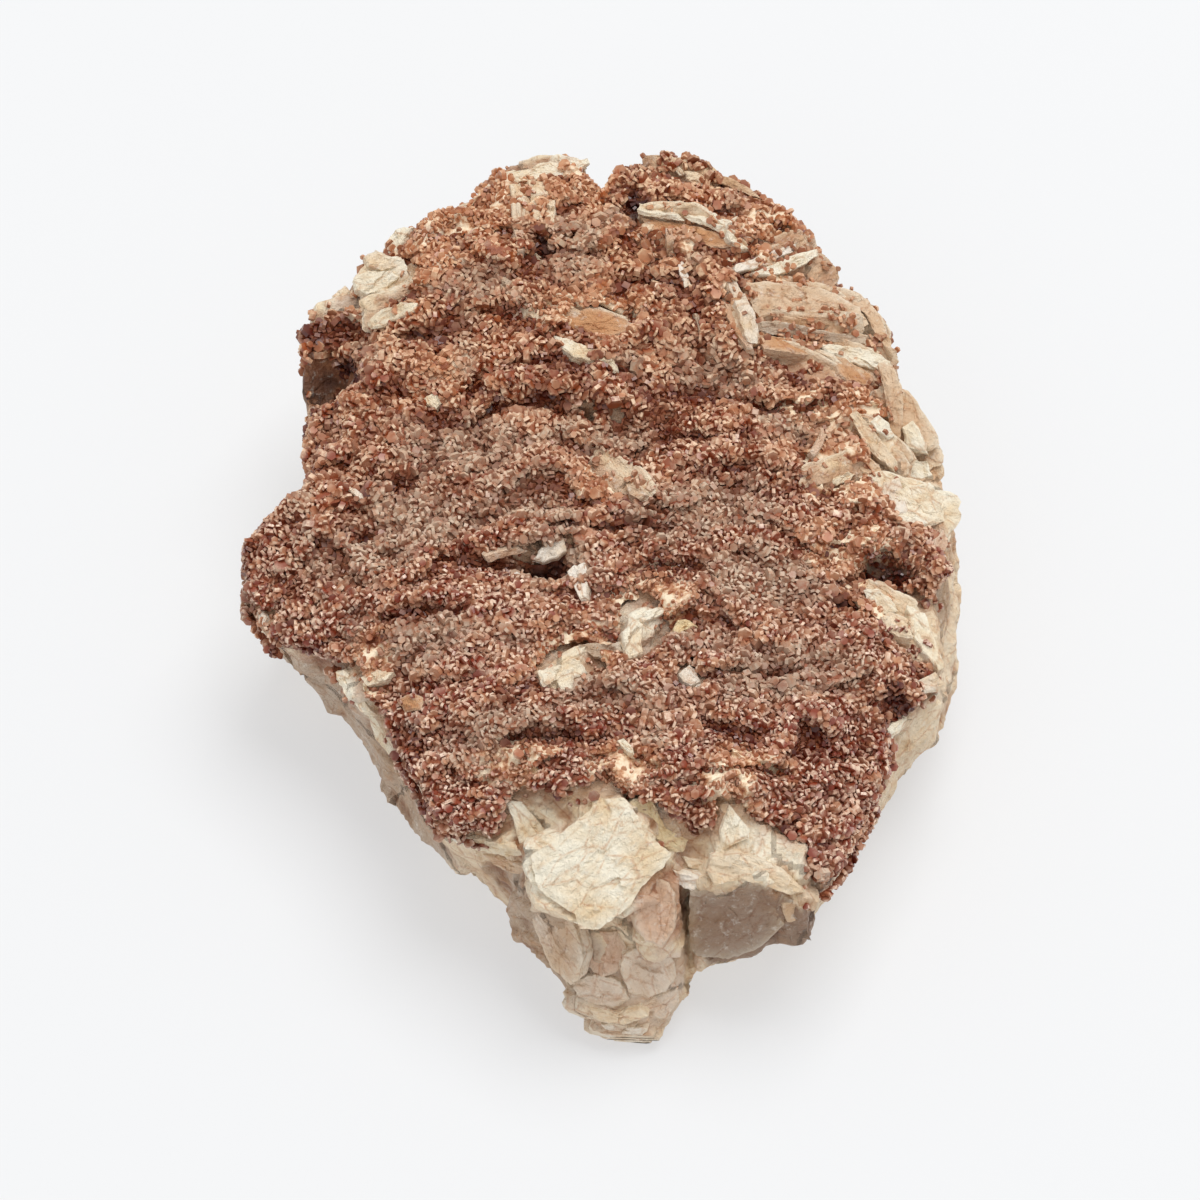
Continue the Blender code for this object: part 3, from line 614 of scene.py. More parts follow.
def crystal_material():
    material, tree, shader, place = new_material("vanadinite")
    split = add(tree, "ShaderNodeSeparateColor", {"Color": attribute(tree, "look", "Color")})
    tip, clean, dust = (split.outputs[name] for name in ("Red", "Green", "Blue"))
    rim, high, thin, pit = (attribute(tree, name) for name in ("rim", "high", "thin", "pit"))
    deep = add(tree, "ShaderNodeSeparateXYZ", {"Vector": place}).outputs["Y"]
    rear = ramp(tree, deep, -0.02, 0.045)
    middle = noise_of(tree, place, 330.0, 4.0)
    fine = noise_of(tree, place, 1100.0, 3.0)
    patchy = noise_of(tree, place, 160.0, 4.0)
    dusted = blended(tree, ramp(tree, middle, 0.35, 0.65), linear(160, 92, 58), linear(200, 148, 112))
    body = blended(tree, rear, linear(134, 50, 24), linear(142, 64, 28))
    colour = blended(tree, clean, dusted, body)
    rusty = blended(tree, 0.6, colour, linear(190, 110, 54))
    stained = product(tree, ramp(tree, patchy, 0.45, 0.62), ramp(tree, rear, 0.0, 1.4))
    colour = blended(tree, stained, colour, rusty)
    # Painted highlight: light tan-pink flecks on the outer ends of the crystals, strongest on their six sides.
    pale = product(tree, ramp(tree, tip, 0.3, 0.9), ramp(tree, fine, 0.35, 0.6))
    edge = product(tree, pale, ramp(tree, rim, -0.5, 1.1))
    colour = blended(tree, edge, colour, blended(tree, rear, linear(242, 214, 188), linear(236, 202, 164)))
    grey = product(tree, dust, ramp(tree, fine, 0.25, 0.6))
    colour = blended(tree, product(tree, grey, 0.7), colour, linear(180, 162, 142))
    warm = blended(tree, ramp(tree, middle, 0.35, 0.65), linear(190, 118, 72), linear(228, 176, 134))
    colour = blended(tree, product(tree, thin, 0.4), colour, warm)
    # Painted shade: the crystals that sit lower in the crust are darker and browner (high is how high each sits).
    hollow_shade = tinted(tree, colour, 160, 112, 86)
    colour = blended(tree, ramp(tree, high, 0.15, 0.6), hollow_shade, colour)
    shaded = tinted(tree, colour, 158, 120, 96)
    colour = blended(tree, pit, colour, shaded)
    feed(tree, shader, {"Base Color": colour, "Roughness": ramp(tree, clean, 0.0, 1.0, 0.55, 0.3), "IOR": 1.6})
    return material


def bed_material():
    material, tree, shader, place = new_material("vanadinite_bed")
    thin = attribute(tree, "thin")
    fine = noise_of(tree, place, 800.0, 5.0)
    patches = noise_of(tree, place, 300.0, 4.0)
    covered = blended(tree, ramp(tree, fine, 0.3, 0.7), linear(120, 56, 34), linear(176, 108, 74))
    bare = blended(tree, ramp(tree, patches, 0.42, 0.56), linear(220, 166, 118), linear(252, 234, 204))
    shown = product(tree, thin, ramp(tree, patches, 0.36, 0.5))
    colour = blended(tree, shown, covered, bare)
    shaded = tinted(tree, colour, 96, 72, 58)
    colour = blended(tree, attribute(tree, "pit"), colour, shaded)
    bump = add(tree, "ShaderNodeBump", {"Height": fine, "Strength": 0.8, "Distance": 0.0006})
    feed(tree, shader, {"Base Color": colour, "Normal": bump.outputs["Normal"], "Roughness": 0.5})
    return material


def floor_material():
    material, tree, shader, place = new_material("floor")
    faint = noise_of(tree, place, 3.0, 2.0)
    colour = blended(tree, faint, linear(160, 161, 162), linear(163, 164, 165))
    feed(tree, shader, {"Base Color": colour, "Roughness": 0.9, "Specular IOR Level": 0.1})
    feed(tree, shader, {"Emission Color": (0.985, 0.99, 1.0, 1.0), "Emission Strength": 0.5})
    return material


def turned(heading, lean, pitch):
    """The turn of a blade that leans and pitches by these degrees and then heads that way."""
    turn, dip, roll = (
        Matrix.Rotation(math.radians(angle), 3, axis) for angle, axis in ((heading, "Z"), (-pitch, "Y"), (lean, "X"))
    )
    return np.array(turn @ dip @ roll)


def broken(u, v, seed, size, stretch=1.0):
    """Heights of a surface broken into flat facets of that size, longer along u by the stretch."""
    draw = np.random.default_rng(int(seed * 1000))
    place = np.stack([u / stretch, v, np.zeros(len(u))], axis=1)
    reach = np.abs(place).max(axis=0) + 0.1
    count = int(min(160, max(3, 4 * reach[0] * reach[1] / size**2)))
    seeds = draw.uniform(-1, 1, (count, 3)) * (reach[0], reach[1], 0)
    ragged = np.stack([rough(place, 0.8, seed + 1), rough(place, 0.8, seed + 5), np.zeros(len(u))], axis=1) * 0.3
    owner = nearest_of(seeds, place + ragged)
    tilts = draw.normal(0, 0.13, (count, 2))
    away = (place - seeds[owner])[:, :2]
    return draw.uniform(-0.45, 0.45, count)[owner] + (tilts[owner] * away).sum(axis=1)


def solid_from(rim_u, rim_v, top, base, seed, relief, stretch, size):
    """A closed blade or block over that rim: its own places (u, v, w), faces, and how near the edge each is."""
    sides = len(rim_u)
    reach = math.sqrt(np.mean(rim_u**2 + rim_v**2))
    rings = max(4, round(reach / 0.5))
    levels = 3
    inner = np.linspace(0, 1, rings + 1)[1:] ** 0.9
    shares = np.concatenate([inner, np.ones(levels), (0.9, 0.6, 0.3)])
    heights = np.concatenate([np.full(rings, top), np.linspace(top, base, levels + 2)[1:-1], np.full(3, base)])
    layer = np.floor((heights + seed) / 0.5)
    inset = 0.5 * (chance(layer + seed) - 0.3) * (shares == 1) / max(reach, 2.0)
    reached = shares * (1 - inset)
    u = np.concatenate([(reached[:, None] * rim_u).ravel(), [0.0, 0.0]])
    v = np.concatenate([(reached[:, None] * rim_v).ravel(), [0.0, 0.0]])
    w = np.concatenate([np.repeat(heights, sides), [top, base]])
    share = np.concatenate([np.repeat(shares, sides), [0.0, 0.0]])
    rise = broken(u, v, seed, size, stretch) + 0.4 * broken(u, v, seed + 3, 0.4 * size, stretch)
    flat = np.stack([u / stretch, v, 0.3 * w], axis=1)
    rise += 0.25 * rough(flat, 0.9, seed + 10) + 0.4 * rough(flat, 3.0, seed + 12)
    upper = np.concatenate([np.repeat(np.linspace(1, 0, len(shares)), sides), [1.0, 0.0]])
    w = w + relief * rise * (0.3 + 0.7 * upper) - 0.25 * smooth_step(0.9, 1.0, share)
    faces = [
        (row + side, row + sides + side, row + sides + (side + 1) % sides, row + (side + 1) % sides)
        for row in range(0, (len(shares) - 1) * sides, sides) for side in range(sides)
    ]
    peak, foot, last = len(shares) * sides, len(shares) * sides + 1, (len(shares) - 1) * sides
    faces += [(peak, side, (side + 1) % sides) for side in range(sides)]
    faces += [(foot, last + (side + 1) % sides, last + side) for side in range(sides)]
    return np.stack([u, v, w], axis=1), faces, share**6


def slab(at, seed, sides=38, ragged=0.2, square=5.0, relief=0.45):
    """A blade of barite: points in the drawing's millimetres, faces, own places, and how near the edge."""
    x, y, z, long, wide, thick, heading, lean, pitch = at
    angle = np.arange(sides) * TURN / sides
    ring = np.stack([np.cos(angle), np.sin(angle), np.zeros(sides)], axis=1)
    bumps = rough(ring, 0.8, seed) + 0.5 * rough(ring, 0.27, seed + 2) + 0.25 * rough(ring, 0.1, seed + 4)
    outline = 1 + ragged * bumps
    outline *= (np.abs(np.cos(angle)) ** square + np.abs(np.sin(angle)) ** square) ** (-1 / square)
    rim_u, rim_v = outline * np.cos(angle) * long / 2, outline * np.sin(angle) * wide / 2
    own, faces, edge = solid_from(rim_u, rim_v, thick / 2, -thick / 2, seed, relief, 3.0, 1.4)
    return own @ turned(heading, lean, pitch).T + (x, y, z) - DRAWN, faces, own + seed, edge


def line_of_sight(pixel):
    """The camera's place and the way it looks at that pixel of the photograph."""
    up = math.radians(CAMERA_ELEVATION)
    eye = np.array(CAMERA_TARGET) + np.array((0, -math.cos(up), math.sin(up))) * CAMERA_DISTANCE
    focal, middle = CAMERA_LENS / SENSOR * PHOTO_SIDE, PHOTO_SIDE / 2
    right, high = (pixel[0] - middle) / focal, (middle - pixel[1]) / focal
    way = np.array((right, math.cos(up) + high * math.sin(up), -math.sin(up) + high * math.cos(up)))
    return eye, way / np.linalg.norm(way)


def block(corners, proud, seed, seen_tree, cad_tree, relief, depth=4.0):
    """A piece of barite with that outline in the photograph, on the surface that is seen there."""
    outline = []
    for (x0, y0), (x1, y1) in zip(corners, corners[1:] + corners[:1]):
        steps = max(2, round(math.hypot(x1 - x0, y1 - y0) / BLOCK_STEP))
        outline += [(x0 + (x1 - x0) * k / steps, y0 + (y1 - y0) * k / steps) for k in range(steps)]
    outline = np.array(outline)
    flat = np.concatenate([outline / PIXELS_A_MM, np.zeros((len(outline), 1))], axis=1)
    outline += BLOCK_STRAY * np.stack([rough(flat, 0.9, seed), rough(flat, 0.9, seed + 4)], axis=1)
    sights = [line_of_sight(pixel) for pixel in outline]
    eye = sights[0][0]
    ways = np.array([way for _, way in sights])
    middle = line_of_sight(np.mean(corners, axis=0))[1]
    hits, normals = [], []
    for way in list(ways[::3]) + [middle] * 4:
        there = seen_tree.ray_cast(Vector(eye), Vector(way))
        facing = cad_tree.ray_cast(Vector(eye), Vector(way))
        if there[0] is not None and facing[0] is not None:
            hits.append(there[0])
            normals.append(facing[1] if facing[1].dot(Vector(way)) < 0 else -facing[1])
    normal = np.mean(normals, axis=0)
    normal /= np.linalg.norm(normal)
    if -normal @ middle < 0.5:
        normal = normal - 0.6 * middle
        normal /= np.linalg.norm(normal)
    level = np.median(np.array(hits) @ normal)
    places = eye + ways * ((level - eye @ normal) / (ways @ normal))[:, None] - middle * proud
    centre = places.mean(axis=0)
    rim = places - centre
    along = np.linalg.svd(rim, full_matrices=False)[2][0]
    along -= normal * (along @ normal)
    along /= np.linalg.norm(along)
    beside = np.cross(normal, along)
    rim_u, rim_v = rim @ along, rim @ beside
    if (rim_u * np.roll(rim_v, -1) - rim_v * np.roll(rim_u, -1)).sum() < 0:
        rim_u, rim_v = rim_u[::-1], rim_v[::-1]
    own, faces, edge = solid_from(rim_u, rim_v, 0.0, -depth, seed, relief, 1.5, 2.6)
    return own @ np.stack([along, beside, normal]) + centre, faces, own + seed, edge


# Blades that stand through the crust: (x, y, z, length, width, thickness, heading, lean, pitch)
BLADES = {
    "arc_left": (12.0, 63.3, 45.8, 12, 8, 1.8, 0, 64, -3),
    "arc_right": (20.4, 60.7, 44.8, 12, 7, 1.8, -39, 58, -11),
    "sheaf_upper": (30.4, 59.1, 41.0, 15, 7, 1.8, 35, 42, -7),
    "sheaf_lower": (33.2, 56.2, 40.0, 15, 7, 1.8, 36, 34, -11),
    "top_tablet": (34.0, 49.8, 39.9, 18, 9, 2.4, -4, 32, -11),
    "outer_tablet": (42.8, 49.1, 35.4, 12, 9, 2.6, -49, 34, -18),
    "mid_tablet": (35.3, 45.0, 38.4, 20, 9, 2.4, 3, 60, -11),
    "low_tablet": (42.1, 41.4, 35.2, 15, 10, 3.0, -8, 48, -19),
    "under_tablet": (33.3, 38.1, 38.0, 13, 8, 2.0, -16, 52, -13),
    "tan_front": (-2.1, 35.2, 44.4, 12, 6, 1.8, -30, 40, -7),
    "tan_back": (-1.0, 41.0, 44.6, 14, 8, 2.0, -12, 30, -4),
    "red_edge": (38, 14, 40.2, 14, 6, 1.8, 31, 40, -9),
    "corner_upper": (-35, 48, 43.0, 11, 6, 2.0, 19, 28, 6),
    "corner_low": (-37, 54, 42.5, 9, 6, 2.2, 24, 32, 9),
    "fold_mid": (3, 12, 42.6, 14, 6, 1.8, -44, 34, 4),
    "right_long": (46, 22, 37.2, 14, 8, 2.4, -47, 34, -12),
    "right_mid": (49, 29, 36.2, 14, 8, 2.6, -52, 30, -14),
    "right_out": (52, 27, 32.6, 16, 9, 2.8, -62, 24, -10),
    "right_cream": (52, 12, 33.6, 14, 10, 3.2, -8, 18, -8),
    "fan_top": (47, -8, 35.2, 10, 6, 2.0, -27, 30, -8),
    "cliff": (-12, 62, 45.6, 15, 7, 2.2, -84, -60, 0),
    "fan_low": (50, -15, 34.6, 10, 6, 2, -22, 30, -8),
    "tip_upper": (1.5, -66.2, 9.4, 13, 9, 2.4, -8, 22, -4),
    "tip_lower": (4.2, -68.6, 4.6, 12, 9, 2.6, -12, 14, -5),
}

# Pieces of bare barite by their outline in the photograph: (tone, how proud, x and y of each corner in pixels)
BLOCKS = [
    ("cream", 1.4, 532, 854, 551, 842, 571, 826, 590, 811, 594, 799, 624, 799, 637, 816, 650, 837, 671, 854, 663,
     867, 650, 876, 637, 893, 629, 906, 611, 919, 599, 929, 581, 927, 575, 914, 556, 901, 539, 889, 534, 871),
    ("cream", 0.8, 502, 799, 521, 801, 539, 822, 551, 844, 534, 852, 519, 844, 513, 822),
    ("cream", 0.9, 444, 831, 474, 837, 509, 846, 528, 854, 521, 859, 479, 852, 453, 842),
    ("tan", 0.6, 480, 853, 505, 858, 530, 868, 536, 878, 515, 876, 492, 864),
    ("yellow", 0.3, 629, 801, 650, 794, 667, 829, 689, 841, 684, 854, 667, 850, 650, 833, 637, 816),
    ("cream", 0.9, 719, 829, 729, 805, 749, 829, 749, 837, 731, 846, 721, 852),
    ("pale", 1.6, 706, 871, 710, 854, 736, 852, 761, 859, 783, 871, 802, 889, 804, 893, 787, 895, 766, 886, 740, 880,
     714, 886),
    # The front face of the lens: brown, darkened as painted shade.
    ("brown", 1.2, 689, 893, 712, 889, 740, 882, 766, 886, 787, 897, 796, 901, 779, 906, 781, 914, 784, 926, 774,
     937, 753, 953, 727, 960, 697, 958, 689, 949, 688, 923),
    ("tan", 1, 781, 906, 802, 895, 821, 899, 817, 910, 798, 923, 787, 925, 783, 914),
    ("shell", 1.6, 620, 970, 624, 955, 644, 944, 663, 946, 676, 961, 678, 979, 667, 991, 648, 1000, 629, 994),
    ("shell", 1, 648, 1000, 667, 991, 679, 987, 680, 1000, 667, 1020, 650, 1018, 637, 1009),
    ("pink", 1.8, 639, 893, 654, 876, 669, 882, 676, 893, 678, 914, 676, 931, 663, 949, 646, 942, 637, 931, 633, 919),
    ("chalk", 1.2, 671, 869, 689, 874, 704, 878, 704, 886, 693, 893, 678, 886),
    ("pale", 0.8, 684, 856, 706, 861, 704, 870, 689, 867),
    ("shell", 0.9, 526, 889, 551, 901, 569, 914, 577, 936, 581, 957, 577, 981, 569, 985, 551, 968, 540, 944, 530,
     919),
    ("pink", 0.8, 581, 934, 616, 931, 629, 953, 616, 974, 599, 979, 581, 961),
    ("shell", 1, 571, 983, 594, 976, 620, 983, 629, 1000, 616, 1009, 590, 1004, 577, 996),
    ("pale", 1.2, 588, 1009, 616, 1015, 641, 1009, 650, 1017, 624, 1026, 596, 1021),
    ("chalk", 1, 601, 1026, 629, 1026, 648, 1029, 642, 1039, 620, 1035, 605, 1032),
    ("cream", 1.4, 637, 210, 655, 212, 678, 214, 685, 220, 659, 219, 639, 215),
    ("cream", 1.4, 678, 214, 698, 217, 714, 223, 727, 227, 727, 236, 708, 227, 685, 220),
    ("cream", 1.4, 727, 228, 737, 237, 750, 248, 743, 249, 727, 237),
    ("orange", 0.7, 642, 218, 685, 223, 721, 234, 734, 246, 714, 248, 672, 238, 649, 228),
    ("cream", 1, 707, 209, 713, 211, 728, 222, 726, 229, 718, 222),
    ("cream", 1, 726, 222, 738, 215, 737, 220, 729, 229),
    ("chalk", 2.6, 734, 268, 737, 264, 760, 256, 773, 250, 799, 242, 798, 249, 779, 257, 773, 264, 753, 269, 737,
     272),
    ("cream", 2.6, 750, 274, 773, 264, 792, 255, 819, 247, 821, 254, 806, 264, 789, 272, 766, 277),
    ("chalk", 2.6, 723, 274, 733, 271, 741, 286, 748, 301, 738, 303, 728, 289),
    ("chalk", 2.6, 736, 300, 748, 298, 755, 312, 760, 327, 759, 343, 750, 341, 742, 322),
    ("pink", 0.6, 724, 300, 735, 300, 745, 322, 752, 340, 755, 352, 747, 351, 734, 332, 726, 315),
    ("tan", 1.4, 743, 283, 766, 281, 792, 284, 819, 287, 838, 294, 858, 307, 868, 323, 858, 330, 832, 323, 806, 317,
     779, 313, 760, 317, 753, 303),
    ("cream", 1.8, 764, 284, 778, 283, 790, 290, 782, 295, 768, 293),
    ("grey", 1.6, 757, 322, 779, 321, 806, 326, 832, 333, 866, 337, 866, 344, 832, 342, 800, 339, 770, 335, 758, 331),
    ("orange", 0.8, 760, 336, 786, 338, 812, 342, 819, 351, 799, 354, 766, 348),
    ("cream", 1.4, 819, 344, 845, 345, 871, 349, 890, 361, 890, 374, 871, 368, 845, 361, 825, 352),
    ("tan", 1.2, 822, 285, 840, 287, 868, 298, 880, 313, 892, 343, 894, 357, 884, 347, 872, 326, 864, 307, 845, 294),
    ("tan", 1, 878, 362, 893, 364, 902, 388, 904, 412, 900, 440, 894, 466, 887, 446, 888, 418, 884, 390),
    ("orange", 0.9, 834, 362, 860, 366, 876, 376, 870, 388, 846, 382, 836, 374),
    ("chalk", 1.4, 676, 261, 683, 259, 688, 272, 691, 286, 685, 287, 679, 273),
    ("pink", 1, 644, 263, 650, 263, 657, 279, 652, 281),
    ("grey", 1, 693, 312, 698, 312, 705, 331, 700, 333),
    ("pink", 1, 665, 228, 673, 227, 674, 241, 667, 245),
    ("cream", 1, 649, 171, 657, 171, 661, 184, 654, 184),
    ("cream", 1, 671, 163, 678, 165, 686, 175, 679, 176),
    ("pale", 0.9, 684, 169, 700, 172, 711, 180, 706, 190, 692, 187, 685, 179),
    ("tan", 0.8, 695, 170, 715, 173, 735, 179, 752, 189, 764, 200, 742, 193, 715, 181),
    ("orange", 1, 555, 322, 567, 312, 590, 307, 612, 312, 634, 322, 626, 333, 600, 338, 572, 338, 557, 333),
    ("cream", 1.3, 553, 335, 562, 338, 582, 344, 600, 350, 598, 360, 572, 356, 560, 348),
    ("cream", 1.3, 596, 349, 606, 352, 617, 364, 622, 373, 612, 372, 597, 361),
    ("cream", 0.5, 382, 243, 392, 231, 404, 226, 415, 227, 404, 238, 398, 250, 388, 254),
    ("pale", 0.5, 366, 258, 378, 251, 392, 258, 398, 268, 380, 272, 366, 268),
    ("cream", 0.5, 352, 277, 368, 269, 392, 271, 400, 277, 388, 288, 366, 296, 353, 290),
    ("pale", 0.5, 332, 294, 345, 285, 352, 292, 342, 301, 333, 304),
    ("cream", 1.6, 367, 322, 380, 310, 400, 303, 415, 303, 413, 312, 398, 318, 384, 326, 371, 328),
    ("tan", 1, 402, 269, 410, 262, 418, 266, 422, 275, 412, 276),
    ("pale", 1, 526, 179, 550, 181, 549, 196, 531, 197),
    ("pale", 0.9, 545, 197, 556, 200, 555, 225, 546, 222),
    ("cream", 1.6, 502, 172, 522, 169, 545, 162, 565, 160, 568, 172, 545, 182, 530, 178, 512, 182),
    ("cream", 1.6, 562, 160, 588, 159, 590, 163, 580, 171, 566, 174),
    ("pale", 1, 509, 183, 520, 181, 525, 196, 517, 203, 510, 195),
    ("pale", 0.9, 532, 204, 540, 203, 541, 218, 533, 217),
    ("grey", 0.8, 490, 280, 504, 275, 514, 280, 508, 291, 496, 291),
    ("cream", 1, 423, 397, 434, 392, 443, 400, 436, 408, 426, 405),
    ("pink", 1, 513, 229, 524, 226, 527, 250, 518, 253),
    ("pale", 1.2, 849, 413, 857, 410, 870, 425, 884, 442, 897, 462, 894, 471, 880, 462, 864, 446),
    ("cream", 1.4, 868, 421, 878, 412, 888, 420, 896, 436, 889, 441, 877, 433),
    ("tan", 1, 852, 452, 866, 454, 882, 464, 890, 478, 878, 481, 862, 471),
    ("cream", 1.2, 903, 427, 913, 421, 924, 438, 928, 454, 915, 451, 905, 448),
    ("cream", 1, 901, 457, 928, 460, 935, 477, 920, 480, 903, 474),
    ("cream", 0.9, 860, 478, 884, 470, 905, 477, 930, 484, 943, 505, 944, 520, 925, 527, 900, 525, 880, 514),
    ("chalk", 1.4, 884, 481, 900, 477, 906, 495, 909, 513, 891, 517, 881, 500),
    ("cream", 1.2, 909, 486, 930, 482, 942, 500, 943, 514, 925, 515, 911, 510),
    ("pink", 1, 934, 542, 944, 528, 949, 545, 943, 556, 936, 553),
    ("grey", 1, 935, 575, 945, 563, 952, 585, 952, 610, 946, 638, 939, 634, 933, 610),
    ("cream", 1.4, 864, 591, 876, 588, 892, 599, 897, 611, 884, 613, 870, 603),
    ("pale", 1.3, 881, 616, 897, 613, 909, 623, 913, 640, 899, 637, 885, 629),
    ("cream", 1.2, 907, 602, 925, 611, 935, 638, 946, 667, 940, 671, 925, 654, 910, 630),
    ("chalk", 1, 920, 681, 934, 673, 946, 684, 939, 691, 925, 693),
    ("pale", 1, 888, 736, 911, 716, 926, 709, 944, 702, 941, 720, 927, 740, 906, 755, 894, 766, 887, 756),
    ("cream", 1.2, 871, 744, 889, 728, 905, 712, 912, 716, 901, 730, 885, 747),
    ("pink", 1.8, 809, 451, 814, 445, 821, 430, 828, 432, 823, 445, 815, 456),
    ("cream", 1.2, 830, 479, 850, 470, 859, 473, 851, 480, 836, 487),
    ("cream", 1.2, 622, 632, 634, 619, 644, 622, 643, 640, 645, 652, 629, 658, 624, 648),
    ("cream", 1.2, 634, 620, 645, 610, 660, 606, 671, 610, 657, 617, 644, 623),
    ("yellow", 1, 670, 628, 677, 618, 690, 618, 697, 626, 685, 631, 676, 640),
    ("cream", 1, 538, 672, 548, 668, 560, 665, 574, 668, 572, 690, 556, 698, 545, 690),
    ("cream", 1, 562, 662, 571, 655, 581, 660, 589, 672, 575, 678, 566, 674),
    ("grey", 0.9, 572, 646, 590, 641, 612, 645, 622, 641, 624, 652, 610, 660, 590, 656),
    ("chalk", 1.2, 678, 673, 690, 664, 698, 668, 701, 680, 692, 685, 682, 681),
    ("chalk", 1, 690, 690, 700, 684, 706, 692, 699, 697),
    ("chalk", 2, 532, 560, 541, 547, 552, 539, 565, 537, 567, 550, 557, 559, 545, 563),
    ("pink", 1.6, 484, 557, 500, 550, 520, 548, 529, 552, 506, 557, 488, 563),
    ("chalk", 1, 501, 576, 512, 572, 525, 575, 520, 581, 507, 581),
    ("chalk", 1.8, 566, 571, 574, 563, 586, 560, 588, 580, 586, 598, 580, 600, 573, 586),
    ("chalk", 0.9, 256, 612, 262, 608, 268, 618, 264, 628, 258, 622),
    ("chalk", 0.9, 346, 488, 353, 486, 364, 494, 366, 502, 358, 500),
    ("pale", 0.9, 360, 676, 378, 670, 392, 672, 384, 680, 366, 684),
    ("orange", 0.8, 398, 700, 410, 694, 424, 698, 420, 710, 404, 712),
    ("cream", 1, 615, 739, 624, 736, 634, 747, 637, 757, 626, 753),
    ("tan", 1, 624, 483, 640, 484, 649, 495, 640, 501, 628, 495),
    ("cream", 0.9, 334, 670, 343, 667, 352, 675, 359, 692, 373, 714, 364, 716, 348, 700, 338, 684),
    ("cream", 0.9, 366, 712, 376, 716, 394, 744, 401, 762, 392, 760, 374, 738),
]


def blades():
    """The blades as stacks of thin leaves."""
    draw = random.Random(SEED)
    made = []
    for at in BLADES.values():
        x, y, z, long, wide, thick, *angles = at
        count = max(2, round(thick / 0.75))
        for index in range(count):
            across = (index - (count - 1) / 2) * 0.8
            stray = (draw.uniform(-0.07, 0.07) * long, draw.uniform(-0.12, 0.12) * wide, across)
            move = turned(*angles) @ stray
            size, tilts = draw.uniform(0.84, 1.04), [angle + draw.uniform(-3, 3) for angle in angles]
            one = (x + move[0], y + move[1], z + move[2], long * size, wide * size, draw.uniform(0.5, 0.8), *tilts)
            made.append(slab(one, draw.uniform(0, 90)))
    return joined(*made)


def blocks(seen_tree, cad_tree):
    """The pieces of bare barite, and the tone of each of their points."""
    made, tones = [], []
    for number, (tone, proud, *numbers) in enumerate(BLOCKS, 1):
        corners = list(zip(numbers[::2], numbers[1::2]))
        relief = 0.25 if tone == "brown" else 0.7
        made.append(block(corners, proud, 3.7 * number, seen_tree, cad_tree, relief))
        tones.append(np.tile(TONES[tone], (len(made[-1][0]), 1)))
    return joined(*made), np.concatenate(tones)


def barite_piece(name, points, faces, own, tone, low, *node_names):
    piece = new_piece(name, points, faces, "barite_matrix", *node_names)
    paint(piece, "tone", tone)
    mark(piece, "low", "POINT", low)
    mark(piece, "own", "POINT", own * MM)
    return piece


def outside(tree, places):
    """Which places lie outside the closed solids of the tree."""
    free = []
    for place in places.tolist():
        near, normal, _, away = tree.find_nearest(place, 4.0)
        free.append(near is None or (Vector(place) - near).dot(normal) > 0 or away > 3.5)
    return np.array(free)


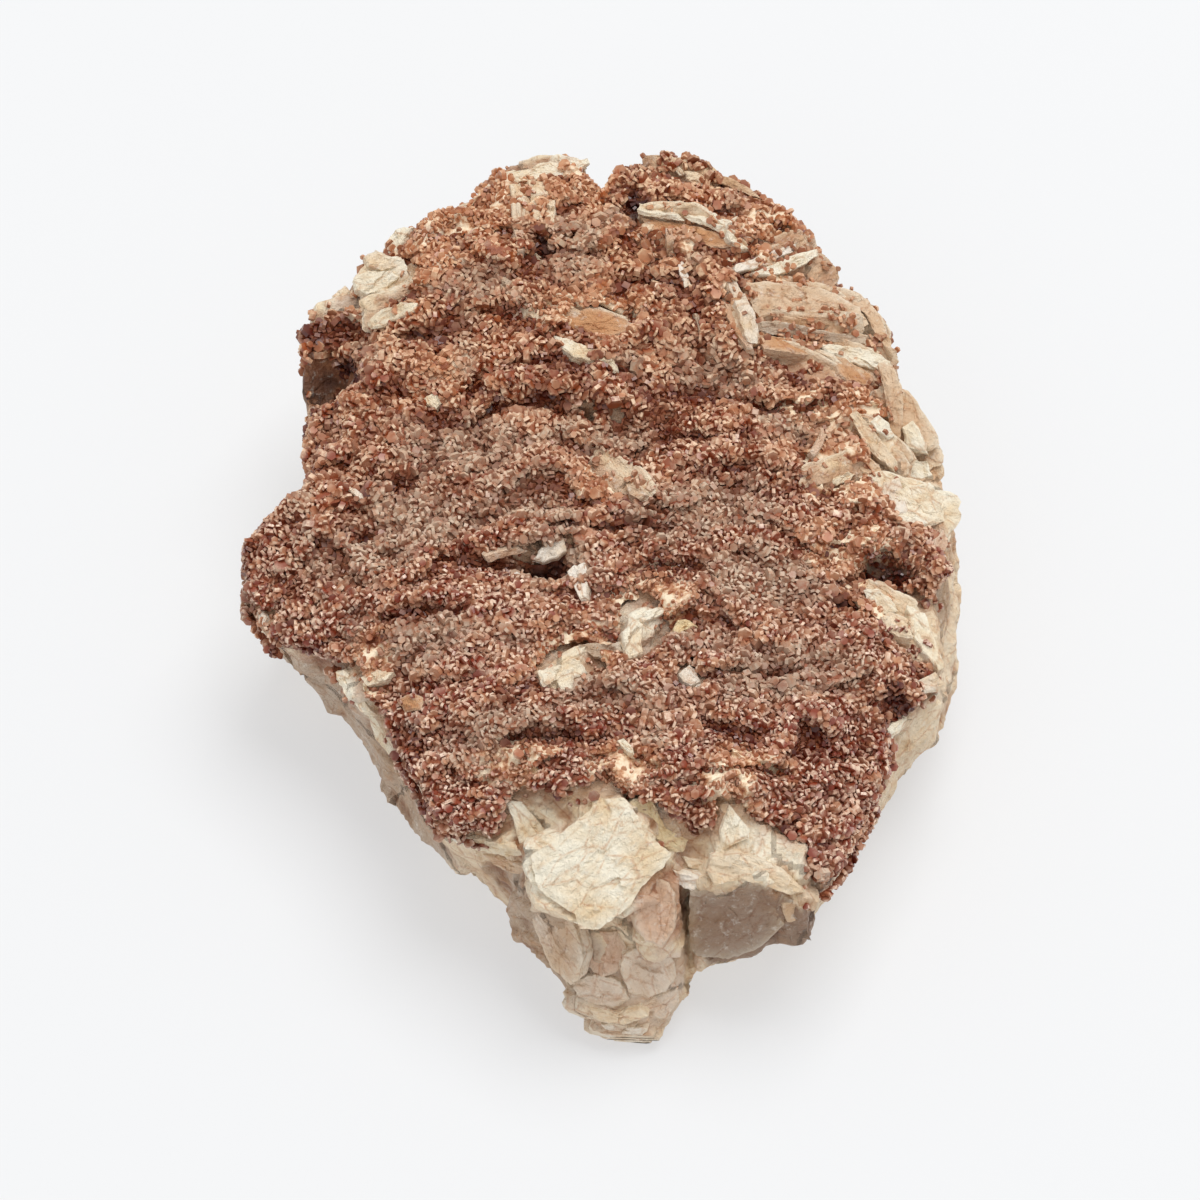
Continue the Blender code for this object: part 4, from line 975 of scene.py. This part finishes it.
def build_specimen():
    """The rock, its blades and blocks, the bed of the crust, and the crystals."""
    crust_points, crust_faces = node_mesh("vanadinite_crust")
    matrix_points, matrix_faces = node_mesh("barite_matrix")
    crust_tree = tree_of(crust_points, crust_faces)
    matrix_tree = tree_of(matrix_points, matrix_faces)
    barite = barite_material()

    rock_points, normals, rock_faces = remeshed("barite_matrix", ROCK_VOXEL)
    rock_points, own, lift = cleaved(rock_points, normals)
    rock_points = inside_box(rock_points)
    tone = barite_tone(rock_points, crust_tree)
    # low: how far the rock is pushed in, for the painted shade in its hollows.
    low = smooth_step(-0.1, -0.75, lift)
    rock = barite_piece("barite_rock", rock_points, rock_faces, own, tone, low, "barite_matrix")

    points, faces, own, edge = blades()
    points = inside_box(points)
    # Painted highlight: the blades turn cream towards their rims.
    tone = mixed(barite_tone(points, crust_tree), "cream", 0.6 * edge)
    leaves = barite_piece("barite_blades", points, faces, own, tone, np.zeros(len(points)))
    bed_points, bed_faces, outer, relief = crust_bed(matrix_tree)
    seen_tree = tree_of(*joined((rock_points, rock_faces), (bed_points, bed_faces), (points, faces)))
    cad_tree = tree_of(*joined((matrix_points, matrix_faces), (crust_points, crust_faces)))

    (block_points, block_faces, own, edge), tone = blocks(seen_tree, cad_tree)
    block_points = inside_box(block_points)
    tone = mixed(tone, "cream", 0.4 * edge)
    faced = barite_piece("barite_blocks", block_points, block_faces, own, tone, np.zeros(len(block_points)))
    for piece in (rock, leaves, faced):
        piece.data.materials.append(barite)

    bed = new_piece("crust_bed", bed_points, bed_faces, "vanadinite_crust", "vanadinite_crust")
    bed.data.materials.append(bed_material())
    mark(bed, "thin", "POINT", spots(bed_points, THIN, THIN_SEED))
    mark(bed, "pit", "POINT", spots(bed_points, DARK, PIT_SEED))

    many = seats(bed_points, bed_faces, outer, relief, CRYSTAL_TRIES, CRYSTAL_MOST)
    free = outside(tree_of(block_points, block_faces), many[0])
    bare_points, bare_faces = joined((rock_points, rock_faces), (points, faces), (block_points, block_faces))
    share = sprinkled_on(bare_points, crust_tree)
    share[-len(block_points):] *= 0.3
    few = seats(bare_points, bare_faces, share, np.zeros(len(share)), SPRINKLED_TRIES, SPRINKLED_MOST)
    grown, looks = prisms(*(np.concatenate([part[free], other]) for part, other in zip(many, few)))
    grown = kept_inside(grown)
    vanadinite = crystal_material()
    for number, start in enumerate(range(0, len(grown), CRYSTALS_A_PIECE), 1):
        some = grown[start:start + CRYSTALS_A_PIECE]
        piece = new_piece(f"crystals_{number}", some.reshape(-1, 3), prism_faces(len(some)), "vanadinite_crust")
        look = looks[start:start + CRYSTALS_A_PIECE].reshape(-1, 6)
        paint(piece, "look", look[:, :3])
        for column, name in enumerate(("high", "thin", "pit"), 3):
            mark(piece, name, "POINT", look[:, column])
        mark(piece, "rim", "FACE", np.tile(RIM, len(some)))
        piece.data.materials.append(vanadinite)


def studio():
    """The floor, the soft lights and the camera."""
    scene = bpy.context.scene
    bpy.ops.mesh.primitive_plane_add(size=FLOOR_SIDE, location=(0, 0, 0))
    floor = bpy.context.object
    floor.name = "floor"
    floor.data.materials.append(floor_material())
    world = bpy.data.worlds.new("studio")
    scene.world = world
    world.use_nodes = True
    sky = world.node_tree.nodes["Background"].inputs
    sky["Color"].default_value = (1.0, 1.0, 1.0, 1.0)
    sky["Strength"].default_value = SKY_LIGHT
    for name, place, side, power in LAMPS:
        lamp = bpy.data.lights.new(name, "AREA")
        lamp.shape = "SQUARE"
        lamp.size = side
        lamp.energy = power
        obj = bpy.data.objects.new(name, lamp)
        obj.location = place
        obj.rotation_euler = (-Vector(place)).to_track_quat("-Z", "Y").to_euler()
        scene.collection.objects.link(obj)
    scene.view_settings.view_transform = "Standard"
    camera = bpy.data.cameras.new("camera")
    camera.lens = CAMERA_LENS
    camera.sensor_width = SENSOR
    camera.sensor_fit = "HORIZONTAL"
    eye = bpy.data.objects.new("camera", camera)
    scene.collection.objects.link(eye)
    target = Vector(CAMERA_TARGET) * MM
    up = math.radians(CAMERA_ELEVATION)
    eye.location = target + Vector((0, -math.cos(up), math.sin(up))) * CAMERA_DISTANCE * MM
    eye.rotation_euler = (target - eye.location).to_track_quat("-Z", "Y").to_euler()
    scene.camera = eye


for startup in ("Cube", "Light", "Camera"):
    if startup in bpy.data.objects:
        bpy.data.objects.remove(bpy.data.objects[startup])
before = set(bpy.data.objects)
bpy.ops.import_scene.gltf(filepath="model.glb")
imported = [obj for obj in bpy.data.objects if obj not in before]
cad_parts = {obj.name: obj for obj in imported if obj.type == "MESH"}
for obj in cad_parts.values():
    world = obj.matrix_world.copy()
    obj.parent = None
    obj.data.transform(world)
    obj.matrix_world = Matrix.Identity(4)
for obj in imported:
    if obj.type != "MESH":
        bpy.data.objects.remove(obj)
cad_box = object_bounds()
build_specimen()
studio()
bpy.context.view_layer.update()
